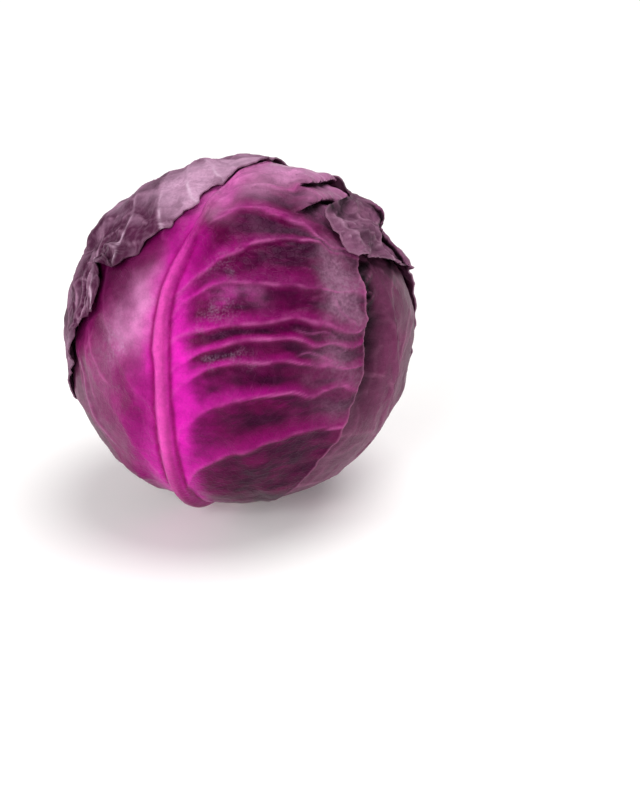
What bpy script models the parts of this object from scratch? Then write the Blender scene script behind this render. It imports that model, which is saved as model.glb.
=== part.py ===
"""Red cabbage head: a cut stalk, a dense inner head and six wrapper leaves.

Metres, +Z up. The origin is the centre of the stalk's flat cut face, which is
the small flat spot that the head rests on. The head is modelled as layers of
height above its centre, so each leaf drapes over what lies below it.

Every leaf has a chart: flat coordinates in degrees about a point of the head
that lies on the leaf's midrib, x to the leaf's east and y towards the top.
A leaf is lofted through a few rows, each a left margin point, a midrib point
and a right margin point, and the rows arch up along the side ribs.
"""

import math
from dataclasses import dataclass

import bmesh
import bpy
import numpy as np

# Head, in metres and degrees
HEAD_RADIUS = 0.0795
CENTRE_HEIGHT = 0.0810
CHART_LATITUDE = 15.0
LEAF_THICKNESS = 0.0008
LEAF_GAP = 0.0007
LAYER_PITCH = 0.0020

# The stalk is a cone that points at the head's centre
STALK_HALF_ANGLE = 11.2
LEAF_FOOT_ANGLE = 11.7
STALK_TOP_GAP = 0.0006
STALK_SIDES = 32

# Rasters that carry the height of the layers below a leaf
RASTER_REACH = 120
CLEARANCE_REACH = 6
BLUR_REACH = 3
MASK_BLUR_REACH = 8

# Swells of the whole head: longitude, latitude, share of the radius, sharpness
HEAD_SWELLS = (
    (72.0, 36.0, 0.034, 6.0),
    (-56.0, 53.0, -0.028, 6.0),
    (0.0, -90.0, -0.055, 14.0),
    (-30.0, -45.0, 0.018, 8.0),
)

# The heart is sunk in rounds until the wrapped head has the radius it aims at
SETTLE_ROUNDS = 4
SETTLE_LIMIT = 0.005
SETTLE_SPOTS = 1500
SETTLE_SHARPNESS = 32.0
SETTLE_STEP = 5

# Relief of a leaf, in degrees and in shares of its length and half width
LEAF_HALF_WIDTH = 60.0
LEAST_HALF_WIDTH = 6.0
MIDRIB_FLATTENING = 0.82
MIDRIB_NARROWING = 0.62
MIDRIB_START = 0.10
RIB_ROOT = 0.12
RIB_END = 1.05
RIB_FADE = 0.45
MARGIN_START = 0.86
TIP_START = 0.95
FOLD_DROP = 1.5
TOOTH_SHARE = 0.7

# Steps that are fine enough for outlines and for marking raster cells
OUTLINE_STEPS = 400
COVER_STEPS = 260
LAY_STEPS = 300

# How fast the leaves open from the stalk, in degrees per share of their length
FOOT_OPENING = 30.0

# The underside in which the lowest point of the heart is looked for
UNDERSIDE_TOP = -74.0

# Share of the half width at which the columns of a leaf stand
COLUMNS = (0.0, 0.05, 0.10, 0.16, 0.25, 0.36, 0.48, 0.60, 0.71, 0.81, 0.91, 1.0)
PLAIN_COLUMNS = (0.0, 0.06, 0.13, 0.26, 0.41, 0.56, 0.71, 0.86, 1.0)


@dataclass
class Leaf:
    """One wrapper leaf.

    rows holds (left, midrib, right) chart points after the foot of the leaf,
    and top, if given, replaces the last row as the outline of the tip.
    """

    name: str
    colour: tuple
    longitude: float
    foot_half_width: float
    rows: tuple
    top: tuple = ()
    side_ribs: int = 7
    rib_start: float = 0.22
    rib_end: float = 0.80
    foot_rows: int = 4
    tip_rows: int = 3
    arch: tuple = (7.0, 9.0)
    midrib_height: float = 0.0042
    midrib_width: float = 0.0058
    rib_height: float = 0.0016
    margin_lift: tuple = (0.0003, 0.0003, 0.0)
    tooth_depth: float = 1.6
    swells: tuple = ()
    folds: tuple = ()
    columns: tuple = COLUMNS


BACK = Leaf(
    name="back_leaf", colour=(0.150, 0.036, 0.090), longitude=-178.0, foot_half_width=38.0,
    rows=(
        ((-36, -64), (1, -74), (34, -66)),
        ((-58, -34), (2, -50), (56, -36)),
        ((-66, -4), (0, -22), (66, -6)),
        ((-66, 26), (-2, 8), (66, 24)),
        ((-52, 48), (0, 34), (52, 46)),
        ((-26, 62), (2, 66), (30, 62)),
    ),
    side_ribs=6, columns=PLAIN_COLUMNS,
)

LEFT = Leaf(
    name="left_leaf", colour=(0.130, 0.022, 0.064), longitude=-100.0, foot_half_width=38.0,
    rows=(
        ((-34, -66), (-1, -76), (38, -66)),
        ((-56, -36), (0, -52), (58, -40)),
        ((-64, -6), (2, -24), (66, -8)),
        ((-62, 24), (1, 6), (64, 20)),
        ((-48, 44), (-2, 32), (50, 42)),
        ((-22, 56), (0, 60), (26, 56)),
    ),
    side_ribs=6, columns=PLAIN_COLUMNS,
)

RIGHT = Leaf(
    name="right_leaf", colour=(0.190, 0.046, 0.115), longitude=62.0, foot_half_width=38.0,
    rows=(
        ((-36, -66), (1, -76), (36, -66)),
        ((-58, -36), (0, -52), (58, -38)),
        ((-66, -6), (-2, -24), (66, -6)),
        ((-62, 24), (-1, 8), (64, 24)),
        ((-46, 46), (2, 34), (50, 46)),
        ((-20, 60), (4, 66), (28, 60)),
    ),
    side_ribs=6, columns=PLAIN_COLUMNS,
    swells=((-14, 4, -0.0016, 9.0),),
)

FRONT = Leaf(
    name="front_leaf", colour=(0.500, 0.022, 0.270), longitude=-26.0, foot_half_width=42.0,
    rows=(
        ((-29, -42), (-2, -76), (34, -70)),
        ((-40, -9), (-1, -56), (57, -36)),
        ((-50, 14), (1, -34), (67, -6)),
        ((-58, 34), (1, -12), (66, 14)),
        ((-62, 54), (-1, 14), (62, 32)),
        ((-58, 74), (2, 40), (60, 50)),
        ((-42, 92), (5, 66), (70, 68)),
        ((-12, 104), (10, 92), (62, 86)),
    ),
    side_ribs=8, rib_start=0.26, rib_end=0.74, foot_rows=12, tip_rows=5, arch=(5.5, 9.0),
    midrib_height=0.0048, midrib_width=0.0060, rib_height=0.0020,
    margin_lift=(0.0008, 0.0024, 0.0), tooth_depth=1.1,
    swells=((-22, -8, 0.0018, 14.0), (30, 15, 0.0012, 18.0), (2, -74, 0.0016, 10.0)),
    folds=(
        (((34, 56), (40, 62), (46, 72), (58, 72), (72, 72)), 0.0034, 16.0),
        (((30, 65), (37, 76), (42, 96)), 0.0018, 10.0),
    ),
)

FLAP = Leaf(
    name="flap_leaf", colour=(0.200, 0.072, 0.140), longitude=118.0, foot_half_width=38.0,
    rows=(
        ((-20, -72), (-1, -76), (34, -64)),
        ((-27, -44), (0, -54), (54, -36)),
        ((-29, -20), (1, -30), (62, -8)),
        ((-33, 2), (0, -8), (62, 18)),
        ((-45, 20), (-1, 14), (58, 40)),
        ((-52, 36), (2, 42), (44, 60)),
        ((-42, 49), (4, 62), (30, 72)),
    ),
    top=(
        (-52, 38), (-48, 44), (-41, 49), (-32, 51), (-23, 46), (-17, 38), (-11, 37),
        (-5, 40), (-2, 52), (2, 66), (12, 74), (22, 74), (32, 70), (40, 62),
    ),
    side_ribs=7, arch=(5.0, 8.0), rib_height=0.0015, tooth_depth=1.4,
    margin_lift=(0.0014, 0.0003, 0.0004),
    folds=((((-14, 37), (-20, 27), (-28, 23), (-33, 14), (-34, 6)), 0.0014, 9.0),),
)

CAP = Leaf(
    name="cap_leaf", colour=(0.290, 0.155, 0.263), longitude=-150.0, foot_half_width=42.0,
    rows=(
        ((-34, -68), (0, -77), (36, -68)),
        ((-54, -42), (1, -56), (60, -44)),
        ((-62, -16), (2, -32), (76, -20)),
        ((-66, 8), (1, -8), (84, 0)),
        ((-66, 26), (-1, 16), (83, 14)),
        ((-64, 40), (0, 42), (82, 25)),
        ((-58, 50), (3, 78), (79, 32)),
    ),
    top=(
        (-58, 50), (-46, 57), (-36, 60), (-28, 64), (-16, 73), (-3, 77), (4, 80), (13, 82),
        (24, 84), (38, 84), (48, 79), (56, 75), (65, 66), (66, 58), (59, 50), (58, 42),
        (63, 37), (73, 36), (79, 32),
    ),
    side_ribs=7, arch=(6.0, 6.0), rib_height=0.0015, tooth_depth=2.4, tip_rows=4,
    margin_lift=(0.0004, 0.0008, 0.0004),
    swells=((62, 30, 0.0012, 8.0), (80, 10, 0.0010, 9.0)),
)

LEAVES = (BACK, LEFT, RIGHT, FRONT, FLAP, CAP)

STALK_COLOUR = (0.760, 0.620, 0.400)
HEART_COLOUR = (0.240, 0.040, 0.130)


def unit_direction(longitude, latitude):
    """Unit vector of a longitude and latitude; longitude 0 faces the front."""
    lon, lat = np.radians(longitude), np.radians(latitude)
    return np.stack(
        [np.cos(lat) * np.sin(lon), -np.cos(lat) * np.cos(lon), np.sin(lat) + 0 * lon], axis=-1
    )


def even_directions(count):
    """Directions spread evenly over the sphere along a golden spiral."""
    step = np.arange(count) + 0.5
    height = 1.0 - 2.0 * step / count
    turn = math.pi * (3.0 - math.sqrt(5.0)) * step
    ring = np.sqrt(1.0 - height**2)
    return np.stack([ring * np.cos(turn), ring * np.sin(turn), height], axis=-1)


def chart_axes(leaf):
    """Centre, east and north unit vectors of a leaf's chart."""
    centre = unit_direction(leaf.longitude, CHART_LATITUDE)
    lon = math.radians(leaf.longitude)
    east = np.array([math.cos(lon), math.sin(lon), 0.0])
    return centre, east, np.cross(centre, east)


def chart_to_direction(leaf, x, y):
    """Unit directions of chart points in degrees."""
    centre, east, north = chart_axes(leaf)
    reach = np.radians(np.hypot(x, y))
    along = np.where(reach > 1e-9, np.sin(reach) / np.maximum(reach, 1e-9), 1.0)
    return (
        np.cos(reach)[..., None] * centre
        + (along * np.radians(x))[..., None] * east
        + (along * np.radians(y))[..., None] * north
    )


def direction_to_chart(leaf, direction):
    """Chart points in degrees of unit directions."""
    centre, east, north = chart_axes(leaf)
    reach = np.degrees(np.arccos(np.clip(direction @ centre, -1.0, 1.0)))
    turn = np.arctan2(direction @ east, direction @ north)
    return reach * np.sin(turn), reach * np.cos(turn)


def head_radius(direction):
    """Outer radius that the finished head aims at."""
    share = np.ones(direction.shape[:-1])
    for longitude, latitude, amount, sharpness in HEAD_SWELLS:
        toward = direction @ unit_direction(longitude, latitude)
        share = share + amount * np.exp(sharpness * (toward - 1.0))
    return HEAD_RADIUS * share


def smooth_curve(points, position):
    """Catmull-Rom curve through points, read at positions from 0 to 1."""
    points = np.asarray(points, float)
    padded = np.vstack([2 * points[0] - points[1], points, 2 * points[-1] - points[-2]])
    place = np.clip(np.asarray(position, float), 0.0, 1.0) * (len(points) - 1)
    index = np.minimum(place.astype(int), len(points) - 2)
    t = (place - index)[..., None]
    a, b, c, d = (padded[index + shift] for shift in range(4))
    return 0.5 * (
        2 * b + (c - a) * t + (2 * a - 5 * b + 4 * c - d) * t**2 + (3 * b - a - 3 * c + d) * t**3
    )


def foot_row(leaf):
    """Chart points of the foot: left, midrib and right, round the stalk."""
    spread = np.array([-leaf.foot_half_width, 0.0, leaf.foot_half_width])
    direction = unit_direction(leaf.longitude + spread, np.full(3, LEAF_FOOT_ANGLE - 90.0))
    return list(zip(*direction_to_chart(leaf, direction)))


def outline_by_length(points):
    """A function that reads a polyline's smooth curve at a share of its length."""
    fine = smooth_curve(points, np.linspace(0.0, 1.0, 20 * len(points)))
    length = np.concatenate([[0.0], np.cumsum(np.hypot(*np.diff(fine, axis=0).T))])

    def read(share):
        at = share * length[-1]
        return np.stack([np.interp(at, length, fine[:, k]) for k in (0, 1)], axis=-1)

    return read


class LeafChart:
    """The leaf as a flat net: chart points for a side, a column and a row."""

    def __init__(self, leaf):
        self.leaf = leaf
        rows = [foot_row(leaf)] + list(leaf.rows)
        self.margins = {-1: [row[0] for row in rows], 1: [row[2] for row in rows]}
        self.rib = [row[1] for row in rows]
        fine = smooth_curve(self.rib, np.linspace(0.0, 1.0, OUTLINE_STEPS))
        length = np.concatenate([[0.0], np.cumsum(np.hypot(*np.diff(fine, axis=0).T))])
        self.row_length = length / length[-1]
        self.top = self.split_top() if leaf.top else None

    def split_top(self):
        """The tip's outline from the midrib to the left and to the right."""
        points = np.array(self.leaf.top, float)
        tip = np.argmin(np.hypot(*(points - np.array(self.leaf.rows[-1][1])).T))
        return {
            -1: outline_by_length(points[tip::-1]),
            1: outline_by_length(points[tip:]),
        }

    def point(self, side, column, row):
        """Chart points; column runs from the midrib to the margin, row to the tip."""
        place = np.interp(row, self.row_length, np.linspace(0.0, 1.0, OUTLINE_STEPS))
        rib = smooth_curve(self.rib, place)
        edge = smooth_curve(self.margins[side], place)
        arch = self.leaf.arch[0 if side < 0 else 1] * np.minimum(1.0, 4.0 * row)
        lift = 4.0 * arch * (np.sqrt(column) - column)
        net = rib + (edge - rib) * column[..., None]
        net[..., 1] += lift
        if self.top:
            last = np.ones_like(row)
            plain = self.point_without_top(side, column, last)
            net += (self.top[side](column) - plain) * (row**4)[..., None]
        return net

    def point_without_top(self, side, column, row):
        """The last row as the loft alone would give it."""
        top, self.top = self.top, None
        plain = self.point(side, column, row)
        self.top = top
        return plain


def distance_to_curve(x, y, points):
    """Distance in degrees to a smooth curve, and the signed side (left is positive)."""
    fine = smooth_curve(points, np.linspace(0.0, 1.0, 40))
    best = np.full(np.shape(x), 1e9)
    side = np.zeros(np.shape(x))
    for (x0, y0), (x1, y1) in zip(fine[:-1], fine[1:]):
        run = np.array([x1 - x0, y1 - y0])
        share = np.clip(((x - x0) * run[0] + (y - y0) * run[1]) / (run @ run), 0.0, 1.0)
        dx, dy = x - x0 - share * run[0], y - y0 - share * run[1]
        near = np.hypot(dx, dy)
        closer = near < best
        best = np.where(closer, near, best)
        side = np.where(closer, np.sign(run[0] * dy - run[1] * dx), side)
    return best, side


def leaf_relief(leaf, side, column, row, x, y):
    """Height of the outer face above the plain blade: ribs, folds, lifted margins."""
    metres = math.radians(1.0) * HEAD_RADIUS
    bulge = np.sin(np.pi * np.clip(0.08 + 0.8 * row, 0.0, 1.0))
    off_rib = column * np.maximum(LEAST_HALF_WIDTH, LEAF_HALF_WIDTH * bulge) * metres
    taper = (1.0 - MIDRIB_FLATTENING * row) * np.clip(row / MIDRIB_START, 0.35, 1.0)
    width = leaf.midrib_width * (1.0 - MIDRIB_NARROWING * row)
    relief = leaf.midrib_height * taper * np.exp(-((off_rib / width) ** 2))

    span = (leaf.rib_end - leaf.rib_start) / (leaf.side_ribs - 1)
    phase = (row - leaf.rib_start) / span
    inside = np.clip(1.5 + phase, 0.0, 1.0) * np.clip(leaf.side_ribs + 0.5 - phase, 0.0, 1.0)
    along = np.clip(column / RIB_ROOT, 0.0, 1.0) * np.clip((RIB_END - column) / RIB_FADE, 0.0, 1.0)
    relief = relief + leaf.rib_height * inside * along * (0.5 + 0.5 * np.cos(2 * np.pi * phase))

    side_lift = leaf.margin_lift[0 if side < 0 else 1]
    side_share = np.clip((column - MARGIN_START) / (1.0 - MARGIN_START), 0.0, 1.0)
    tip_share = np.clip((row - TIP_START) / (1.0 - TIP_START), 0.0, 1.0)
    relief = relief + side_lift * side_share**2 + leaf.margin_lift[2] * tip_share**2
    for x0, y0, height, reach in leaf.swells:
        relief = relief + height * np.exp(-((x - x0) ** 2 + (y - y0) ** 2) / (2 * reach**2))
    for points, height, reach in leaf.folds:
        near, hand = distance_to_curve(x, y, points)
        lower = np.clip(1.0 - near / FOLD_DROP, 0.0, 1.0)
        relief = relief + height * np.where(hand > 0, np.exp(-((near / reach) ** 2)), lower)
    return relief


def scallop(leaf, side, columns, rows, points):
    """Waved margins: the outermost row and column step inwards between the teeth."""
    side_teeth = (np.arange(len(rows)) % 2) * np.minimum(1.0, 5.0 * rows)
    points[:, -1, 0] -= side * TOOTH_SHARE * leaf.tooth_depth * side_teeth
    tip_teeth = (np.arange(len(columns)) % 2) * (columns < 1.0)
    points[-1, :, 1] -= leaf.tooth_depth * tip_teeth
    return points


def leaf_rows(leaf):
    """Rows of the net: each side rib, the valley between two, and the plain ends."""
    ribs = np.linspace(leaf.rib_start, leaf.rib_end, 2 * leaf.side_ribs - 1)
    foot = np.linspace(0.0, leaf.rib_start, leaf.foot_rows + 1)[:-1]
    tip = np.linspace(leaf.rib_end, 1.0, leaf.tip_rows + 1)[1:]
    return np.concatenate([foot, ribs, tip])


def leaf_net(leaf, columns, rows, toothed):
    """Chart points and relief of the whole leaf, left margin to right margin."""
    chart = LeafChart(leaf)
    halves, reliefs = {}, {}
    for side in (-1, 1):
        row, column = np.meshgrid(rows, columns, indexing="ij")
        points = chart.point(side, column, row)
        if toothed:
            points = scallop(leaf, side, columns, rows, points)
        halves[side] = points
        reliefs[side] = leaf_relief(leaf, side, column, row, points[..., 0], points[..., 1])
    points = np.concatenate([halves[-1][:, ::-1], halves[1][:, 1:]], axis=1)
    relief = np.concatenate([reliefs[-1][:, ::-1], reliefs[1][:, 1:]], axis=1)
    return points, relief


def net_directions(leaf, points, rows):
    """Directions of the net's points, with the foot held clear of the stalk."""
    direction = chart_to_direction(leaf, points[..., 0], points[..., 1])
    azimuth = np.arctan2(direction[..., 0], -direction[..., 1])
    polar = np.degrees(np.arccos(np.clip(-direction[..., 2], -1.0, 1.0)))
    polar = np.maximum(polar, LEAF_FOOT_ANGLE + FOOT_OPENING * rows[:, None])
    polar[0] = LEAF_FOOT_ANGLE
    half = np.array(leaf.columns) * leaf.foot_half_width
    foot = leaf.longitude + np.concatenate([-half[::-1], half[1:]])
    azimuth[0] = np.radians(foot)
    return unit_direction(np.degrees(azimuth), polar - 90.0)


def box_blur(grid, reach):
    """Mean over a square window, edges repeated."""
    size = 2 * reach + 1
    for axis in (0, 1):
        padded = np.pad(grid, [(reach, reach) if k == axis else (0, 0) for k in (0, 1)], "edge")
        total = sum(np.take(padded, range(k, k + grid.shape[axis]), axis) for k in range(size))
        grid = total / size
    return grid


def box_max(grid, reach):
    """Largest value in a square window, edges repeated."""
    for axis in (0, 1):
        padded = np.pad(grid, [(reach, reach) if k == axis else (0, 0) for k in (0, 1)], "edge")
        best = grid
        for k in range(2 * reach + 1):
            best = np.maximum(best, np.take(padded, range(k, k + grid.shape[axis]), axis))
        grid = best
    return grid


def sample(grid, x, y):
    """Bilinear read of a leaf's raster at chart points."""
    return sample_grid(grid, x + RASTER_REACH, y + RASTER_REACH)


def sample_grid(grid, column, row):
    """Bilinear read of a grid."""
    fx = np.clip(column, 0, grid.shape[1] - 1 - 1e-6)
    fy = np.clip(row, 0, grid.shape[0] - 1 - 1e-6)
    ix, iy = fx.astype(int), fy.astype(int)
    tx, ty = fx - ix, fy - iy
    low = grid[iy, ix] * (1 - tx) + grid[iy, ix + 1] * tx
    high = grid[iy + 1, ix] * (1 - tx) + grid[iy + 1, ix + 1] * tx
    return low * (1 - ty) + high * ty


def raster_directions(leaf):
    """Directions of every cell of a leaf's raster."""
    line = np.arange(-RASTER_REACH, RASTER_REACH + 1, dtype=float)
    y, x = np.meshgrid(line, line, indexing="ij")
    return chart_to_direction(leaf, x, y)


class Layers:
    """The head while it is being wrapped: its heart and the leaves laid so far."""

    def __init__(self, leaves):
        self.covers = {leaf.name: self.cover(leaf) for leaf in leaves}
        self.leaves = leaves
        self.laid = []
        self.sunk = np.zeros((180 // SETTLE_STEP + 1, 360 // SETTLE_STEP + 1))
        for _ in range(SETTLE_ROUNDS):
            self.settle()

    def settle(self):
        """Wrap the head once and sink the heart by how far the wrapping stands proud."""
        for leaf in self.leaves:
            self.lay(leaf)
        spots = even_directions(SETTLE_SPOTS)
        spots = spots[spots[:, 2] > -math.cos(math.radians(LEAF_FOOT_ANGLE))]
        proud = self.surface(spots) - head_radius(spots)
        latitude, longitude = np.mgrid[-90:91:SETTLE_STEP, -180:181:SETTLE_STEP].astype(float)
        grid = unit_direction(longitude, latitude)
        weight = np.exp(SETTLE_SHARPNESS * (grid @ spots.T - 1.0))
        self.sunk += (weight @ proud) / weight.sum(axis=-1)
        self.sunk = np.clip(self.sunk, -SETTLE_LIMIT, SETTLE_LIMIT)
        self.laid = []

    def sunk_by(self, direction):
        """How far the heart was sunk along a direction."""
        latitude = np.degrees(np.arcsin(np.clip(direction[..., 2], -1.0, 1.0))) + 90.0
        longitude = np.degrees(np.arctan2(direction[..., 0], -direction[..., 1])) + 180.0
        return sample_grid(self.sunk, longitude / SETTLE_STEP, latitude / SETTLE_STEP)

    def cover(self, leaf):
        """Soft mask of where a leaf lies, on its own raster."""
        fine = np.linspace(0.0, 1.0, COVER_STEPS)
        points, _ = leaf_net(leaf, fine, fine, False)
        mask = np.zeros((2 * RASTER_REACH + 1,) * 2)
        cells = np.clip(np.rint(points + RASTER_REACH).astype(int), 0, 2 * RASTER_REACH)
        mask[cells[..., 1], cells[..., 0]] = 1.0
        return box_blur(box_blur(mask, MASK_BLUR_REACH), MASK_BLUR_REACH)

    def heart(self, direction):
        """Height of the inner head, sunk where more leaves will lie."""
        stack = np.zeros(direction.shape[:-1])
        for leaf in self.leaves:
            x, y = direction_to_chart(leaf, direction)
            stack = stack + LAYER_PITCH * sample(self.covers[leaf.name], x, y)
        return head_radius(direction) - stack - LEAF_GAP - self.sunk_by(direction)

    def surface(self, direction):
        """Height of the highest thing laid so far."""
        height = self.heart(direction)
        for leaf, outer in self.laid:
            x, y = direction_to_chart(leaf, direction)
            height = np.maximum(height, sample(outer, x, y))
        return height

    def lay(self, leaf):
        """Drape a leaf: the raster of its inner face, kept for the leaves above."""
        below = self.surface(raster_directions(leaf))
        inner = box_blur(box_max(below, CLEARANCE_REACH), BLUR_REACH) + LEAF_GAP
        fine = np.linspace(0.0, 1.0, LAY_STEPS)
        points, relief = leaf_net(leaf, fine, fine, False)
        outer = np.zeros_like(inner)
        cells = np.clip(np.rint(points + RASTER_REACH).astype(int), 0, 2 * RASTER_REACH)
        height = sample(inner, points[..., 0], points[..., 1]) + LEAF_THICKNESS + relief
        np.maximum.at(outer, (cells[..., 1], cells[..., 0]), height)
        self.laid.append((leaf, outer))
        return inner


def closed_sheet(outer, inner):
    """Vertices and triangles of a closed blade from two like grids of points.

    Each cell is split along its shorter diagonal, alike on both faces.
    """
    rows, columns = outer.shape[:2]
    count = rows * columns
    vertices = np.concatenate([outer.reshape(-1, 3), inner.reshape(-1, 3)])
    faces = []
    for i in range(rows - 1):
        for j in range(columns - 1):
            a, b = i * columns + j, i * columns + j + 1
            c, d = b + columns, a + columns
            rising = np.linalg.norm(vertices[c] - vertices[a])
            falling = np.linalg.norm(vertices[d] - vertices[b])
            halves = ((a, b, c), (a, c, d)) if rising < falling else ((a, b, d), (b, c, d))
            for face in halves:
                faces.append(face)
                faces.append(tuple(count + k for k in reversed(face)))
    rim = list(range(columns))
    rim += [i * columns + columns - 1 for i in range(1, rows)]
    rim += [(rows - 1) * columns + j for j in range(columns - 2, -1, -1)]
    rim += [i * columns for i in range(rows - 2, 0, -1)]
    for a, b in zip(rim, rim[1:] + rim[:1]):
        faces += [(b, a, count + a), (b, count + a, count + b)]
    return vertices, faces


def add_object(name, vertices, faces, colour, roughness):
    """A mesh object with its own material, faces pointing outwards."""
    mesh = bpy.data.meshes.new(name)
    mesh.from_pydata([tuple(v) for v in vertices], [], [tuple(f) for f in faces])
    mesh.shade_smooth()
    mesh.set_sharp_from_angle(angle=math.radians(50.0))
    thing = bpy.data.objects.new(name, mesh)
    bpy.context.scene.collection.objects.link(thing)
    material = bpy.data.materials.new(name + "_finish")
    material.use_nodes = True
    shader = material.node_tree.nodes["Principled BSDF"]
    shader.inputs["Base Color"].default_value = (*colour, 1.0)
    shader.inputs["Roughness"].default_value = roughness
    shader.inputs["Metallic"].default_value = 0.0
    mesh.materials.append(material)
    return thing


def build_leaf(leaf, layers):
    """One wrapper leaf as a closed blade draped over the layers below."""
    inner_raster = layers.lay(leaf)
    columns, rows = np.array(leaf.columns), leaf_rows(leaf)
    points, relief = leaf_net(leaf, columns, rows, True)
    direction = net_directions(leaf, points, rows)
    x, y = direction_to_chart(leaf, direction)
    low = sample(inner_raster, x, y)
    high = low + LEAF_THICKNESS + relief
    centre = np.array([0.0, 0.0, CENTRE_HEIGHT])
    vertices, faces = closed_sheet(
        centre + direction * high[..., None], centre + direction * low[..., None]
    )
    return add_object(leaf.name, vertices, faces, leaf.colour, 0.45)


def build_heart(layers):
    """The dense inner head, a closed ball under the wrapper leaves."""
    shape = bmesh.new()
    bmesh.ops.create_icosphere(shape, subdivisions=4, radius=1.0)
    for vertex in shape.verts:
        direction = np.array(vertex.co.normalized())
        height = float(layers.heart(direction[None, :])[0])
        vertex.co = tuple(np.array([0.0, 0.0, CENTRE_HEIGHT]) + direction * height)
    shape.verts.index_update()
    vertices = [tuple(v.co) for v in shape.verts]
    faces = [tuple(v.index for v in f.verts) for f in shape.faces]
    shape.free()
    return add_object("inner_head", vertices, faces, HEART_COLOUR, 0.5)


def build_stalk(layers):
    """The cut stump: a cone that points at the head's centre, cut flat at both ends."""
    around, up = np.arange(0.0, 360.0, 15.0), np.arange(-90.0, UNDERSIDE_TOP, 2.0)
    longitude, latitude = np.meshgrid(around, up)
    under = unit_direction(longitude, latitude)
    reach = float(np.max(-under[..., 2] * layers.heart(under)))
    top = CENTRE_HEIGHT - reach - STALK_TOP_GAP
    slope = math.tan(math.radians(STALK_HALF_ANGLE))
    shape = bmesh.new()
    bmesh.ops.create_cone(
        shape, cap_ends=True, segments=STALK_SIDES,
        radius1=CENTRE_HEIGHT * slope, radius2=(CENTRE_HEIGHT - top) * slope, depth=top,
    )
    bmesh.ops.translate(shape, verts=shape.verts, vec=(0.0, 0.0, top / 2))
    bmesh.ops.triangulate(shape, faces=shape.faces)
    shape.verts.index_update()
    vertices = [tuple(v.co) for v in shape.verts]
    faces = [tuple(v.index for v in f.verts) for f in shape.faces]
    shape.free()
    return add_object("stalk", vertices, faces, STALK_COLOUR, 0.6)


def main():
    """Build the head from the inside out."""
    for thing in list(bpy.data.objects):
        bpy.data.objects.remove(thing, do_unlink=True)
    layers = Layers(LEAVES)
    build_stalk(layers)
    build_heart(layers)
    for leaf in LEAVES:
        build_leaf(leaf, layers)


main()
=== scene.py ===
"""Looks of a red cabbage head: fine leaf meshes, their finishes, and a plain studio.

Every leaf has a chart, flat coordinates in degrees about a point of the head on its
midrib: x to the leaf's east and y towards the top. A leaf is lofted through a few rows,
each a left margin point, a midrib point and a right margin point. Its height above the
head's centre comes from wrapping the head layer by layer, from the inside out.
"""

import logging
import math
from dataclasses import dataclass, field
from enum import Enum, IntEnum
from typing import ClassVar
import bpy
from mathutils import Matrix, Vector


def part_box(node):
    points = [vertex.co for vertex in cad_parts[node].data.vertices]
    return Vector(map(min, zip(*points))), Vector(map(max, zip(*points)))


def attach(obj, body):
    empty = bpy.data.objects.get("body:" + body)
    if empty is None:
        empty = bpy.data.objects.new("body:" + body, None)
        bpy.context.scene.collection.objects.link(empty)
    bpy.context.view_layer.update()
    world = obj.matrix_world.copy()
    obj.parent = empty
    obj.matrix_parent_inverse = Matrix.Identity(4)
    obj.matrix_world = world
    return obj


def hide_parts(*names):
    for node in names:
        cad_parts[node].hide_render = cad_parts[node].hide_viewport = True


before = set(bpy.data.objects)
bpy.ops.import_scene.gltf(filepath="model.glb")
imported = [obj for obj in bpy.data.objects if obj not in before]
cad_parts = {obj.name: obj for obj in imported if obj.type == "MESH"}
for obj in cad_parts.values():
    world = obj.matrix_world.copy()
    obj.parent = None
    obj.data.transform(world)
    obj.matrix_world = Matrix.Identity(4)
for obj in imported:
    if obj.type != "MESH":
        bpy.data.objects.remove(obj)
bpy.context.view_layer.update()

import bpy
import numpy as np
from mathutils import Matrix

Array = np.ndarray
Socket = bpy.types.NodeSocket
Piece = bpy.types.Object
Pair = tuple[float, float]
Points = tuple[Pair, ...]
Colour = tuple[float, float, float]

LOG = logging.getLogger("red_cabbage")

# Metres, and degrees about the head's centre; DEGREE is one of them along the surface.
HEAD_RADIUS = 0.0795
CENTRE_HEIGHT = 0.0810
BLADE_THICKNESS = 0.0007
CHART_LATITUDE = 15.0
LEAF_FOOT_ANGLE = 11.7
STALK_HALF_ANGLE = 11.2
DEGREE = math.radians(1.0) * HEAD_RADIUS
HEAD_CENTRE = np.array([0.0, 0.0, CENTRE_HEIGHT])
TINY = 1e-9


class Side(IntEnum):
    """The half of a leaf, left or right of its midrib seen from outside."""

    LEFT = -1
    RIGHT = 1


class Mark(Enum):
    """A mask on the blade that a spot may strengthen or weaken."""

    BAND = "band"
    BLOOM = "bloom"
    CORE = "core"
    FACET = "facet"
    GLOW = "glow"
    GROOVE = "groove"
    PEARL = "pearl"
    SHADE = "shade"
    WAX = "wax"


class LampKind(Enum):
    """The kinds of lamp in the studio."""

    AREA = "AREA"
    SUN = "SUN"


def unit_direction(longitude: Array, latitude: Array) -> Array:
    """Unit vectors of longitudes and latitudes.

    Args:
        longitude: degrees, 0 at the front and growing to the right.
        latitude: degrees above the level of the head's centre.

    Returns:
        An array with one more axis of length 3.
    """
    lon, lat = np.radians(longitude), np.radians(latitude)
    return np.stack(
        [np.cos(lat) * np.sin(lon), -np.cos(lat) * np.cos(lon), np.sin(lat) + 0 * lon], axis=-1
    )


def smooth_step(value: Array, low: float, high: float) -> Array:
    """Smooth ramp of a value.

    Args:
        value: what is read.
        low: where the ramp starts at 0.
        high: where it ends at 1, which may be below low.

    Returns:
        Values from 0 to 1.
    """
    share = np.clip((value - low) / (high - low), 0.0, 1.0)
    return share * share * (3.0 - 2.0 * share)


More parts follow.
